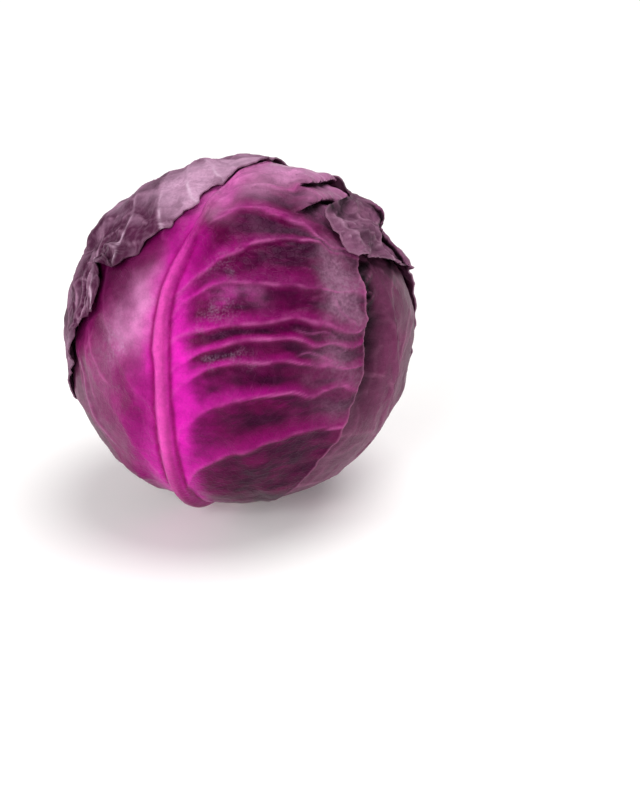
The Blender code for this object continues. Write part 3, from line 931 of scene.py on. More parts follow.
def box_max(grid: Array, reach: int) -> Array:
    """Largest value in a square window, edges repeated."""
    for axis in (0, 1):
        padded = np.pad(grid, [(reach, reach) if k == axis else (0, 0) for k in (0, 1)], "edge")
        best = grid
        for k in range(2 * reach + 1):
            best = np.maximum(best, np.take(padded, range(k, k + grid.shape[axis]), axis))
        grid = best
    return grid


def sample_grid(grid: Array, column: Array, row: Array) -> Array:
    """Bilinear read of a grid."""
    fx = np.clip(column, 0, grid.shape[1] - 1 - 1e-6)
    fy = np.clip(row, 0, grid.shape[0] - 1 - 1e-6)
    ix, iy = fx.astype(int), fy.astype(int)
    tx, ty = fx - ix, fy - iy
    low = grid[iy, ix] * (1 - tx) + grid[iy, ix + 1] * tx
    high = grid[iy + 1, ix] * (1 - tx) + grid[iy + 1, ix + 1] * tx
    return low * (1 - ty) + high * ty


@dataclass
class Wrapping:
    """The head while it is wrapped: its heart and the leaves laid so far.

    dents hold longitude, latitude, depth and sharpness of hollows in the heart.
    """

    ROUGH_CELLS: ClassVar[float] = 1.15
    COVER_BLUR: ClassVar[float] = 8.0
    SPOTS: ClassVar[int] = 1500
    SPOT_FOCUS: ClassVar[float] = 32.0

    form: HeadForm
    charts: list[LeafChart]
    dents: tuple[tuple[float, float, float, float], ...] = ()
    step: float = 1.0
    reach: float = 120.0
    pitch: float = 0.0019
    gap: float = 0.00025
    clearance: float = 2.0
    blurs: int = 2
    settle_limit: float = 0.005
    sunk_step: int = 5
    sunk: Array = field(default_factory=lambda: np.zeros((37, 73)))
    dented: bool = False
    laid: list[tuple[LeafChart, Array]] = field(default_factory=list)

    def __post_init__(self) -> None:
        """Work out where each leaf lies and how it is shaped, roughly."""
        self.plain = []
        self.covers = []
        for chart in self.charts:
            places = np.linspace(0.0, 1.0, int(self.ROUGH_CELLS * self.side_cells()))
            net = make_net(chart, 2.0 * places - 1.0, places)
            mask, reach = self.splat(net, np.ones(net.x.shape)), self.cells(self.COVER_BLUR)
            self.covers.append(box_blur(box_blur(mask, reach), reach))
            coarse = make_net(chart, 2.0 * places[::2] - 1.0, places[::2])
            self.plain.append((coarse, Relief(chart).carve(coarse)))

    def cells(self, degrees: float) -> int:
        """Raster cells in a number of degrees."""
        return max(1, int(round(degrees / self.step)))

    def side_cells(self) -> int:
        """Cells along the raster's side."""
        return 2 * self.cells(self.reach) + 1

    def splat(self, net: Net, height: Array) -> Array:
        """Raster of the highest value that falls in each cell."""
        grid = np.zeros((self.side_cells(),) * 2)
        column = np.clip(np.rint((net.x + self.reach) / self.step), 0, len(grid) - 1).astype(int)
        row = np.clip(np.rint((net.y + self.reach) / self.step), 0, len(grid) - 1).astype(int)
        np.maximum.at(grid, (row, column), height)
        return grid

    def read(self, grid: Array, x: Array, y: Array) -> Array:
        """Read a raster at chart points."""
        return sample_grid(grid, (x + self.reach) / self.step, (y + self.reach) / self.step)

    def heart(self, direction: Array) -> Array:
        """Height of the inner head, sunk where more leaves lie."""
        stack = np.zeros(direction.shape[:-1])
        for chart, cover in zip(self.charts, self.covers):
            stack = stack + self.pitch * self.read(cover, *chart.from_direction(direction))
        latitude = np.degrees(np.arcsin(np.clip(direction[..., 2], -1.0, 1.0))) + 90.0
        longitude = np.degrees(np.arctan2(direction[..., 0], -direction[..., 1])) + 180.0
        sunk = sample_grid(self.sunk, longitude / self.sunk_step, latitude / self.sunk_step)
        if self.dented:
            for lon, lat, depth, sharpness in self.dents:
                toward = direction @ unit_direction(lon, lat)
                sunk = sunk + depth * np.exp(sharpness * (toward - 1.0))
        return self.form.reach(direction) - stack - self.gap - sunk

    def surface(self, direction: Array) -> Array:
        """Height of the highest thing laid so far."""
        height = self.heart(direction)
        for chart, outer in self.laid:
            height = np.maximum(height, self.read(outer, *chart.from_direction(direction)))
        return height

    def lay(self, chart: LeafChart) -> Array:
        """Drape a leaf over what is laid.

        Args:
            chart: the leaf's chart.

        Returns:
            Raster of its inner face.
        """
        line = np.linspace(-self.reach, self.reach, self.side_cells())
        y, x = np.meshgrid(line, line, indexing="ij")
        inner = box_max(self.surface(chart.to_direction(x, y)), self.cells(self.clearance))
        for _ in range(self.blurs):
            inner = box_blur(inner, self.cells(1.0))
        return inner + self.gap

    def pile(self, chart: LeafChart, inner: Array, net: Net, relief: Array) -> Array:
        """Lay a leaf's finished shape on the head.

        Args:
            chart: the leaf's chart.
            inner: raster of its inner face.
            net: its net.
            relief: height above the plain blade at the net's places.

        Returns:
            Heights of its outer face at the net's places.
        """
        height = self.read(inner, net.x, net.y) + BLADE_THICKNESS + relief
        grid = self.splat(net, height)
        self.laid.append((chart, np.where(grid > 0.0, grid, box_max(grid, 1))))
        return height

    def settle(self, rounds: int) -> None:
        """Wrap the head in rounds and sink the heart by what stands proud."""
        step = np.arange(self.SPOTS) + 0.5
        up = 1.0 - 2.0 * step / len(step)
        turn = math.pi * (3.0 - math.sqrt(5.0)) * step
        ring = np.sqrt(1.0 - up**2)
        spots = np.stack([ring * np.cos(turn), ring * np.sin(turn), up], axis=-1)
        spots = spots[spots[:, 2] > -math.cos(math.radians(LEAF_FOOT_ANGLE))]
        latitude, longitude = np.mgrid[-90:91 : self.sunk_step, -180:181 : self.sunk_step]
        grid = unit_direction(longitude.astype(float), latitude.astype(float))
        weight = np.exp(self.SPOT_FOCUS * (grid @ spots.T - 1.0))
        for _ in range(rounds):
            for chart, (net, relief) in zip(self.charts, self.plain):
                self.pile(chart, self.lay(chart), net, relief)
            proud = self.surface(spots) - self.form.reach(spots)
            self.sunk = self.sunk + (weight @ proud) / weight.sum(axis=-1)
            self.sunk = np.clip(self.sunk, -self.settle_limit, self.settle_limit)
            self.laid = []
        self.dented = True


def deselect_all() -> None:
    """Leave nothing selected."""
    bpy.ops.object.select_all(action="DESELECT")


def as_piece(name: str) -> Piece:
    """Name the object that was just added and its mesh."""
    thing = bpy.context.active_object
    thing.name = name
    thing.data.name = name
    return thing


def apply_modifier(thing: Piece, modifier: bpy.types.Modifier) -> None:
    """Apply one modifier of an object."""
    bpy.context.view_layer.objects.active = thing
    bpy.ops.object.modifier_apply(modifier=modifier.name)


def read_points(thing: Piece) -> Array:
    """The points of a mesh, one a row."""
    flat = np.zeros(len(thing.data.vertices) * 3)
    thing.data.vertices.foreach_get("co", flat)
    return flat.reshape(-1, 3)


def write_points(thing: Piece, points: Array) -> None:
    """Move the points of a mesh."""
    thing.data.vertices.foreach_set("co", points.astype(np.float32).ravel())


def write_marks(thing: Piece, marks: dict[str, Array]) -> None:
    """Store masks as point attributes that the materials read."""
    for name, values in marks.items():
        attribute = thing.data.attributes.new(name, "FLOAT", "POINT")
        attribute.data.foreach_set("value", values.astype(np.float32).ravel())


class Nodes:
    """Short ways to add and join shader nodes in one tree."""

    def __init__(self, tree: bpy.types.NodeTree) -> None:
        """Keep the tree."""
        self.tree = tree

    def put(self, socket: Socket, value: object) -> None:
        """Join a socket to another, or set it to a constant."""
        if isinstance(value, Socket):
            self.tree.links.new(value, socket)
        elif isinstance(value, tuple) and len(value) == 3 and socket.type == "RGBA":
            socket.default_value = (*value, 1.0)
        else:
            socket.default_value = value

    def mark(self, name: str) -> Socket:
        """A point attribute's value."""
        node = self.tree.nodes.new("ShaderNodeAttribute")
        node.attribute_name = name
        return node.outputs["Fac"]

    def part(self, name: str, amount: float) -> Socket:
        """A point attribute's value times an amount, kept between 0 and 1."""
        return self.math("CLAMP_MULTIPLY", self.mark(name), amount)

    def math(self, way: str, first: object, second: object = 0.0) -> Socket:
        """One sum, product or like step, kept between 0 and 1 where the way says CLAMP."""
        node = self.tree.nodes.new("ShaderNodeMath")
        node.operation = way.removeprefix("CLAMP_")
        node.use_clamp = way.startswith("CLAMP_")
        self.put(node.inputs[0], first)
        self.put(node.inputs[1], second)
        return node.outputs[0]

    def total(self, base: object, *parts: tuple[object, float]) -> Socket:
        """A base plus values, each times its weight."""
        for value, weight in parts:
            base = self.math("ADD", base, self.math("MULTIPLY", value, weight))
        return base

    def ramp(self, value: object, low: float, high: float) -> Socket:
        """Smooth ramp of a value from 0 at low to 1 at high."""
        node = self.tree.nodes.new("ShaderNodeMapRange")
        node.interpolation_type = "SMOOTHSTEP"
        self.put(node.inputs["Value"], value)
        node.inputs["From Min"].default_value = low
        node.inputs["From Max"].default_value = high
        return node.outputs["Result"]

    def mix(self, share: object, first: object, second: object) -> Socket:
        """Blend of two colours."""
        node = self.tree.nodes.new("ShaderNodeMix")
        node.data_type = "RGBA"
        self.put(node.inputs[0], share)
        self.put(node.inputs[6], first)
        self.put(node.inputs[7], second)
        return node.outputs[2]

    def darken(self, colour: object, factor: object) -> Socket:
        """A colour times a value."""
        node = self.tree.nodes.new("ShaderNodeVectorMath")
        node.operation = "SCALE"
        self.put(node.inputs[0], colour)
        self.put(node.inputs["Scale"], factor)
        return node.outputs[0]

    def place(self) -> Socket:
        """Object coordinates."""
        return self.tree.nodes.new("ShaderNodeTexCoord").outputs["Object"]

    def noise(self, where: object, scale: object, detail: float = 3.0) -> Socket:
        """Noise from 0 to 1."""
        node = self.tree.nodes.new("ShaderNodeTexNoise")
        self.put(node.inputs["Vector"], where)
        self.put(node.inputs["Scale"], scale)
        node.inputs["Detail"].default_value = detail
        return node.outputs["Fac"]

    def noises(
        self, where: object, looks: tuple[tuple[float, float, float], ...]
    ) -> Socket:
        """Sum of noises, each with a scale, a detail and a weight."""
        parts = [(self.noise(where, scale, detail), weight) for scale, detail, weight in looks]
        return self.total(0.0, *parts)

    def bumped(self, height: object, strength: float, depth: float) -> Socket:
        """Normals of a surface with a height laid on it."""
        node = self.tree.nodes.new("ShaderNodeBump")
        node.inputs["Strength"].default_value = strength
        node.inputs["Distance"].default_value = depth
        self.put(node.inputs["Height"], height)
        return node.outputs["Normal"]

    def cells(self, where: object, scale: object) -> Socket:
        """Distance to the walls between irregular cells."""
        node = self.tree.nodes.new("ShaderNodeTexVoronoi")
        node.feature = "DISTANCE_TO_EDGE"
        self.put(node.inputs["Vector"], where)
        self.put(node.inputs["Scale"], scale)
        return node.outputs["Distance"]

    def group(self, tree: bpy.types.NodeTree, **values: object) -> dict[str, Socket]:
        """Place a node group with its own values and give its outputs by name."""
        node = self.tree.nodes.new("ShaderNodeGroup")
        node.node_tree = tree
        for name, value in values.items():
            self.put(node.inputs[name], value)
        return {output.name: output for output in node.outputs}


def new_material(name: str) -> tuple[bpy.types.Material, Nodes, bpy.types.Node]:
    """A material, its nodes helper and its shader."""
    material = bpy.data.materials.new(name)
    material.use_nodes = True
    tree = material.node_tree
    return material, Nodes(tree), tree.nodes["Principled BSDF"]


def new_group(
    name: str, inputs: dict[str, float], outputs: tuple[str, ...]
) -> tuple[Nodes, dict, dict]:
    """Start a shader node group of plain values.

    Args:
        name: the group's name.
        inputs: input names with their default values.
        outputs: output names.

    Returns:
        The nodes helper, the group's input sockets and its output sockets.
    """
    tree = bpy.data.node_groups.new(name, "ShaderNodeTree")
    for key, value in inputs.items():
        socket = tree.interface.new_socket(key, in_out="INPUT", socket_type="NodeSocketFloat")
        socket.default_value = value
    for key in outputs:
        tree.interface.new_socket(key, in_out="OUTPUT", socket_type="NodeSocketFloat")
    enter, leave = tree.nodes.new("NodeGroupInput"), tree.nodes.new("NodeGroupOutput")
    ins = {socket.name: socket for socket in enter.outputs}
    outs = {socket.name: socket for socket in leave.inputs}
    return Nodes(tree), ins, outs


class SharedEffects:
    """Node groups that more than one finish uses.

    Scales are in features per metre. A look is a noise's scale, its detail and its weight.
    """

    CLOUD = (70.0, 5.0)
    CLOUD_RAMP = (0.30, 0.68)
    GRAIN = (700.0, 4.0)
    GRAIN_RAMP = (0.34, 0.66)
    THIN_FILM = 0.35
    PLAIN_FILM = 0.72
    GRAINY_FILM = 0.4
    SPECKS = ((1100.0, 4.0, 0.45), (190.0, 6.0, 0.55))
    SPECK_WAX = 0.10
    SPECK_RAMP = (0.46, 0.74)

    VEIN_SCALE = 330.0
    VEIN_RAMP = (0.10, 0.0)
    VEIN_HEIGHT = 0.25
    PORES = ((2600.0, 2.0, 0.22), (420.0, 4.0, 0.6))
    SLOW_TONE = (38.0, 4.0)
    MOTTLE = ((900.0, 3.0, 0.4), (210.0, 5.0, 0.6))
    MOTTLE_RAMP = (0.34, 0.66)

    def __init__(self) -> None:
        """Build each group once."""
        self.bloom = self.build_bloom()
        self.skin = self.build_skin()

    def build_bloom(self) -> bpy.types.NodeTree:
        """Waxy bloom: a cloudy film, and fine specks where it has been rubbed."""
        nodes, ins, outs = new_group("waxy_bloom", {"Film": 0.5, "Wax": 0.0}, ("Film", "Specks"))
        place = nodes.place()
        cloud = nodes.ramp(nodes.noise(place, *self.CLOUD), *self.CLOUD_RAMP)
        grains = nodes.ramp(nodes.noise(place, *self.GRAIN), *self.GRAIN_RAMP)
        film = nodes.total(self.THIN_FILM, (cloud, 1.0 - self.THIN_FILM))
        rubbed = nodes.total(self.PLAIN_FILM, (grains, self.GRAINY_FILM))
        film = nodes.math("MULTIPLY", film, rubbed)
        nodes.put(outs["Film"], nodes.math("CLAMP_MULTIPLY", film, ins["Film"]))
        level = nodes.noises(place, self.SPECKS)
        level = nodes.ramp(nodes.total(level, (ins["Wax"], self.SPECK_WAX)), *self.SPECK_RAMP)
        nodes.put(outs["Specks"], nodes.math("CLAMP_MULTIPLY", level, ins["Wax"]))
        return nodes.tree

    def build_skin(self) -> bpy.types.NodeTree:
        """Leaf skin: minute pores, a faint net of the finest veins, and a slow change of tone."""
        values = ("Height", "Tone", "Veins", "Mottle")
        nodes, ins, outs = new_group("leaf_skin", {"Vein Scale": self.VEIN_SCALE}, values)
        place = nodes.place()
        veins = nodes.ramp(nodes.cells(place, ins["Vein Scale"]), *self.VEIN_RAMP)
        height = nodes.total(nodes.noises(place, self.PORES), (veins, self.VEIN_HEIGHT))
        nodes.put(outs["Height"], height)
        nodes.put(outs["Tone"], nodes.noise(place, *self.SLOW_TONE))
        nodes.put(outs["Veins"], veins)
        nodes.put(outs["Mottle"], nodes.ramp(nodes.noises(place, self.MOTTLE), *self.MOTTLE_RAMP))
        return nodes.tree


@dataclass(frozen=True)
class LeafFinish:
    """Colours and gloss of one wrapper leaf, in linear values."""

    TONE_RAMP: ClassVar[Pair] = (0.28, 0.72)
    BAND_TONE: ClassVar[Pair] = (0.6, 0.6)
    TIP_SHARE: ClassVar[float] = 0.75
    FINE_SHARE: ClassVar[float] = 0.4
    SHADED_FLANK_SHARE: ClassVar[float] = 0.50
    POCKET_SHADE_DEPTH: ClassVar[float] = 0.92
    SHADE_TONE: ClassVar[Pair] = (0.86, 0.28)
    FILM_ROUGHNESS: ClassVar[float] = 0.20
    SPECK_ROUGHNESS: ClassVar[float] = 0.15
    BUMP_DEPTH: ClassVar[float] = 0.0006
    REFRACTION: ClassVar[float] = 1.40

    name: str
    blade: Colour
    vivid: Colour
    tip: Colour
    # The band colour is partly painted shade; the core colour is painted shade.
    band: Colour
    core: Colour
    bloom: Colour
    wax: Colour
    # Colour of the painted highlights, also used for the rib crests near the tip.
    pearl: Colour
    rib: Colour
    midrib: Colour
    groove: Colour
    foot: Colour
    rim: Colour
    glow: float = 0.6
    band_and_shade_depth: float = 0.6
    core_shade_depth: float = 0.4
    slope: float = 0.25
    film: float = 0.5
    net: float = 0.35
    facet: float = 0.25
    rib_line: float = 0.5
    rim_line: float = 0.4
    midrib_share: float = 0.85
    roughness: float = 0.42
    gloss: float = 0.24
    gleam: Colour = (1.0, 0.55, 0.86)
    bump: float = 0.55
    mottle: float = 0.13

    def build(self, shared: SharedEffects) -> bpy.types.Material:
        """Make the material.

        Args:
            shared: the node groups that all finishes use.

        Returns:
            The leaf's material.
        """
        material, nodes, shader = new_material(self.name)
        skin = nodes.group(shared.skin)
        # The bloom film is thicker on the lit parts of each plate, from the painted facet shading.
        film = nodes.math("CLAMP_MULTIPLY", nodes.mark("bloom"), self.film)
        plate = nodes.math("ADD", 1.0 - self.facet, nodes.part("facet", 2.0 * self.facet))
        film = nodes.math("CLAMP_MULTIPLY", film, plate)
        bloom_and_light = nodes.group(shared.bloom, Film=film, Wax=nodes.mark("wax"))
        tone = nodes.ramp(skin["Tone"], *self.TONE_RAMP)

        colour = self.blade_colour(nodes, tone)
        # Lit parts of each plate painted paler, towards the bloom colour.
        colour = nodes.mix(nodes.part("facet", self.facet), colour, self.bloom)
        colour = nodes.mix(bloom_and_light["Film"], colour, self.bloom)
        colour = self.line_colour(nodes, colour, bloom_and_light["Specks"])
        shade = self.shading(nodes, skin["Mottle"], tone)
        nodes.put(shader.inputs["Base Color"], nodes.darken(colour, shade))

        film_rough, speck_rough = self.FILM_ROUGHNESS, self.SPECK_ROUGHNESS
        dusty = ((bloom_and_light["Film"], film_rough), (bloom_and_light["Specks"], speck_rough))
        nodes.put(shader.inputs["Roughness"], nodes.total(self.roughness, *dusty))
        normal = nodes.bumped(skin["Height"], self.bump, self.BUMP_DEPTH)
        nodes.put(shader.inputs["Normal"], normal)
        shader.inputs["IOR"].default_value = self.REFRACTION
        shader.inputs["Specular IOR Level"].default_value = self.gloss
        shader.inputs["Specular Tint"].default_value = (*self.gleam, 1.0)
        return material

    def blade_colour(self, nodes: Nodes, tone: Socket) -> Socket:
        """The blade between its lines: glow; slopes, partly painted light; bands, partly painted
        shade; their dark cores of painted shade; and the tip.
        """
        least, more = self.BAND_TONE
        uneven = nodes.total(least, (tone, more))
        colour = nodes.mix(nodes.part("glow", self.glow), self.blade, self.vivid)
        colour = nodes.mix(nodes.part("slope", self.slope), colour, self.vivid)
        band = nodes.math("CLAMP_MULTIPLY", nodes.part("band", self.band_and_shade_depth), uneven)
        colour = nodes.mix(band, colour, self.band)
        core = nodes.math("CLAMP_MULTIPLY", nodes.part("core", self.core_shade_depth), uneven)
        colour = nodes.mix(core, colour, self.core)
        return nodes.mix(nodes.part("tip", self.TIP_SHARE), colour, self.tip)

    def line_colour(
        self, nodes: Nodes, colour: Socket, specks: Socket
    ) -> Socket:
        """Lay painted highlights, veins, ribs, wax specks, the midrib with its painted shaded side,
        and the rim on the blade.

        Args:
            nodes: the material's nodes.
            colour: the blade's own colour.
            specks: share of wax specks.

        Returns:
            The colour with all of them.
        """
        # Painted highlight patches in a pale colour.
        colour = nodes.mix(nodes.part("pearl", 1.0), colour, self.pearl)
        veins = nodes.total(nodes.mark("net"), (nodes.mark("fine_net"), self.FINE_SHARE))
        colour = nodes.mix(nodes.math("CLAMP_MULTIPLY", veins, self.net), colour, self.rib)
        # Near the tip the rib crests take the same pale colour as the painted highlights.
        line = nodes.mix(nodes.mark("tip"), self.rib, self.pearl)
        colour = nodes.mix(nodes.part("rib", self.rib_line), colour, line)
        colour = nodes.mix(specks, colour, self.wax)
        colour = nodes.mix(nodes.part("groove", self.midrib_share), colour, self.groove)
        # That side of the midrib takes the darker groove colour: painted shade.
        stem = nodes.mix(nodes.part("flank", self.SHADED_FLANK_SHARE), self.midrib, self.groove)
        stem = nodes.mix(nodes.mark("foot"), stem, self.foot)
        colour = nodes.mix(nodes.part("midrib", self.midrib_share), colour, stem)
        return nodes.mix(nodes.part("rim", self.rim_line), colour, self.rim)

    def shading(
        self, nodes: Nodes, mottle: Socket, tone: Socket
    ) -> Socket:
        """Painted shade in the fold pockets and the shade patches, with random tone and mottling,
        as a factor of the colour.
        """
        least, more = self.SHADE_TONE
        shade = nodes.total(1.0, (nodes.mark("pocket_shade"), -self.POCKET_SHADE_DEPTH))
        shade = nodes.math("MULTIPLY", shade, nodes.mark("shade"))
        shade = nodes.math("MULTIPLY", shade, nodes.total(least, (tone, more)))
        spotted = nodes.total(1.0 - self.mottle, (mottle, 2.0 * self.mottle))
        return nodes.math("MULTIPLY", shade, spotted)


@dataclass(frozen=True)
class StalkFinish:
    """The cut stump: cream pith with a fibrous ring and a dry edge."""

    name: str = "cut_stalk"
    pith: Colour = (0.90, 0.80, 0.70)
    ring: Colour = (0.78, 0.64, 0.53)
    dry: Colour = (0.56, 0.39, 0.34)
    fibre_scale: float = 700.0
    fibre_share: float = 0.35
    roughness: Pair = (0.55, 0.2)
    bump: float = 0.4
    bump_depth: float = 0.0005

    def build(self, shared: SharedEffects) -> bpy.types.Material:
        """Make the material."""
        material, nodes, shader = new_material(self.name)
        skin = nodes.group(shared.skin, **{"Vein Scale": self.fibre_scale})
        fibre = nodes.ramp(skin["Veins"], 0.0, 1.0)
        colour = nodes.mix(nodes.mark("ring"), self.pith, self.ring)
        colour = nodes.mix(nodes.math("MULTIPLY", fibre, self.fibre_share), colour, self.ring)
        dry = nodes.math("CLAMP_MULTIPLY", nodes.mark("dry"), skin["Tone"])
        nodes.put(shader.inputs["Base Color"], nodes.mix(dry, colour, self.dry))
        least, more = self.roughness
        nodes.put(shader.inputs["Roughness"], nodes.total(least, (skin["Tone"], more)))
        normal = nodes.bumped(skin["Height"], self.bump, self.bump_depth)
        nodes.put(shader.inputs["Normal"], normal)
        return material


@dataclass
class WrapperLeaf:
    """One wrapper leaf: its shape, its finish and its patches of bloom, wax, painted highlight and
    painted shade.
    """

    SPARED_RIBS: ClassVar[float] = 0.75
    SHADE_LIMITS: ClassVar[Pair] = (0.04, 2.0)
    MARK_LIMIT: ClassVar[float] = 1.6
    CLOUD_SPAN: ClassVar[float] = 20.0
    SPOT_DRIFT: ClassVar[float] = 3.5
    SPOT_SPAN: ClassVar[float] = 9.0
    SPOT_CLOUD: ClassVar[float] = 0.3
    FOOT_RAMP: ClassVar[Pair] = (0.34, 0.05)
    FOOT_OPENING: ClassVar[float] = 30.0
    SIDE_PULL: ClassVar[float] = 0.35
    SMOOTH_ANGLE: ClassVar[float] = 70.0

    shape: LeafShape
    finish: LeafFinish
    slot: str
    spots: tuple[Spot, ...] = ()
    bloom_base: float = 0.4
    bloom_cloud: float = 0.35
    tip_rows: Pair = (0.75, 1.0)

    def net(self, chart: LeafChart) -> Net:
        """The fine net of the finished mesh."""
        across, up = self.shape.cells
        half = denser_ends(np.linspace(0.0, 1.0, across // 2 + 1), self.SIDE_PULL)
        rows = denser_ends(np.linspace(0.0, 1.0, up + 1), self.shape.row_pull)
        return make_net(chart, np.concatenate([-half[::-1], half[1:]]), rows)

    def foot_clear(self, net: Net, chart: LeafChart) -> Array:
        """Directions of the net, kept clear of the stalk at the foot."""
        direction = chart.to_direction(net.x, net.y)
        azimuth = np.degrees(np.arctan2(direction[..., 0], -direction[..., 1]))
        polar = np.degrees(np.arccos(np.clip(-direction[..., 2], -1.0, 1.0)))
        polar = np.maximum(polar, LEAF_FOOT_ANGLE + self.FOOT_OPENING * net.row)
        foot = self.shape.longitude + net.side * net.column * self.shape.foot_half_width
        first = net.row < TINY
        azimuth = np.where(first, foot, azimuth)
        polar = np.where(first, LEAF_FOOT_ANGLE, polar)
        return unit_direction(azimuth, polar - 90.0)

    def paint(self, net: Net) -> None:
        """Marks for the tip, bloom, wax, painted highlights, painted shade and the foot of the
        midrib.
        """
        noise = Noise(self.shape.seed + 7)
        cloud = noise.fractal(net.x / self.CLOUD_SPAN, net.y / self.CLOUD_SPAN, 3)
        net.marks["bloom"] = np.clip(self.bloom_base + self.bloom_cloud * cloud, 0.0, 1.0)
        net.marks["wax"] = np.zeros(net.x.shape)
        net.marks["pearl"] = np.zeros(net.x.shape)
        net.marks["tip"] = smooth_step(net.row + 0.08 * cloud, *self.tip_rows)
        net.marks["foot"] = smooth_step(net.row, *self.FOOT_RAMP)
        net.marks["shade"] = np.ones(net.x.shape)
        x, y = net.x / self.SPOT_SPAN, net.y / self.SPOT_SPAN
        drift_x = self.SPOT_DRIFT * noise.fractal(x + 50.0, y, 3)
        drift_y = self.SPOT_DRIFT * noise.fractal(x, y + 50.0, 3)
        for spot in self.spots:
            over = spot.over(net.x + drift_x, net.y + drift_y) * (1.0 + self.SPOT_CLOUD * cloud)
            name = spot.mark.value
            if spot.mark is Mark.SHADE:
                deep = over * (1.0 - self.SPARED_RIBS * np.clip(net.marks["rib"], 0.0, 1.0))
                net.marks[name] = net.marks[name] * np.clip(1.0 - deep, *self.SHADE_LIMITS)
            else:
                net.marks[name] = np.clip(net.marks[name] + over, 0.0, self.MARK_LIMIT)

    def mesh(self, place: Array, marks: dict[str, Array]) -> Piece:
        """A blade of the net's points, with its marks and its thickness.

        Args:
            place: the points of the outer face, in rows from foot to tip.
            marks: masks at the same points.

        Returns:
            The smooth, closed blade.
        """
        rows, columns = place.shape[:2]
        deselect_all()
        bpy.ops.mesh.primitive_grid_add(
            x_subdivisions=columns - 1, y_subdivisions=rows - 1, size=2.0
        )
        thing = as_piece(self.shape.name + "_skin")
        flat = read_points(thing)
        column = np.rint((flat[:, 0] + 1.0) / 2.0 * (columns - 1)).astype(int)
        row = np.rint((flat[:, 1] + 1.0) / 2.0 * (rows - 1)).astype(int)
        write_points(thing, place[row, column])
        write_marks(thing, {name: values[row, column] for name, values in marks.items()})
        thing.data.update()
        solid = thing.modifiers.new("blade", "SOLIDIFY")
        solid.thickness = BLADE_THICKNESS
        solid.offset = -1.0
        apply_modifier(thing, solid)
        thing.select_set(True)
        bpy.ops.object.shade_smooth_by_angle(angle=math.radians(self.SMOOTH_ANGLE))
        return thing

    def build(
        self, chart: LeafChart, wrapping: Wrapping, shared: SharedEffects
    ) -> Piece:
        """Model and dress the leaf.

        Args:
            chart: the leaf's chart.
            wrapping: the head with all the leaves below this one laid.
            shared: the node groups that all finishes use.

        Returns:
            The finished piece.
        """
        inner = wrapping.lay(chart)
        net = self.net(chart)
        relief = Relief(chart).carve(net)
        self.paint(net)
        direction = self.foot_clear(net, chart)
        net.x, net.y = chart.from_direction(direction)
        height = wrapping.pile(chart, inner, net, relief)
        thing = self.mesh(direction * height[..., None] + HEAD_CENTRE, net.marks)
        thing.data.materials.append(self.finish.build(shared))
        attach(thing, "root")
        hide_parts(self.shape.name)
        return thing


@dataclass
class InnerHead:
    """The dense heart under the wrapper leaves, itself tightly folded leaves.

    spiral_lean turns the folds of its leaves as they go down, and spiral_pitch is the
    angle from one fold to the next. Heights are in metres.
    """

    finish: LeafFinish
    node: str = "inner_head"
    slot: str = "inner_leaves"
    seed: int = 91
    segments: int = 144
    rings: int = 72
    step_height: float = 0.0006
    dimples: float = 0.0003
    spiral_lean: float = 1.4
    spiral_pitch: float = 72.0
    ribs_round: float = 7.0

    def build(self, wrapping: Wrapping, shared: SharedEffects) -> Piece:
        """Model and dress the heart."""
        deselect_all()
        bpy.ops.mesh.primitive_uv_sphere_add(
            segments=self.segments, ring_count=self.rings, radius=1.0
        )
        thing = as_piece(self.node + "_skin")
        direction = read_points(thing)
        direction /= np.linalg.norm(direction, axis=1)[:, None]
        turn = np.degrees(np.arctan2(direction[:, 0], -direction[:, 1]))
        polar = np.degrees(np.arccos(np.clip(direction[:, 2], -1.0, 1.0)))
        noise = Noise(self.seed)
        spiral = (turn + self.spiral_lean * polar) / self.spiral_pitch
        spiral = spiral + 0.25 * noise.plain(turn / 40.0, polar / 30.0)
        step = spiral - np.floor(spiral)
        fade = np.sin(np.radians(polar)) ** 2
        sunk = self.step_height * step * fade
        sunk = sunk + self.dimples * noise.fractal(turn / 12.0, polar / 9.0, 3) ** 2
        height = wrapping.heart(direction) - sunk
        write_points(thing, direction * height[:, None] + HEAD_CENTRE)
        ribs = np.abs(np.sin(np.radians(turn * self.ribs_round))) ** 12 * fade
        zero = np.zeros(len(turn))
        plain = ("glow", "midrib", "groove", "foot", "pocket_shade", "fine_net", "facet", "tip", "slope")
        marks = {name: zero for name in plain + ("core", "wax", "flank", "pearl")}
        # The shade mark darkens each spiral step towards its sunken end: painted shade in the fold.
        marks |= {"rib": ribs, "band": 1.0 - fade, "bloom": 0.3 + 0.3 * step, "net": ribs * 0.3}
        marks |= {"rim": bell(step, 0.02) * fade, "shade": 1.0 - 0.3 * step}
        write_marks(thing, marks)
        thing.select_set(True)
        bpy.ops.object.shade_smooth()
        thing.data.materials.append(self.finish.build(shared))
        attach(thing, "root")
        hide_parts(self.node)
        return thing


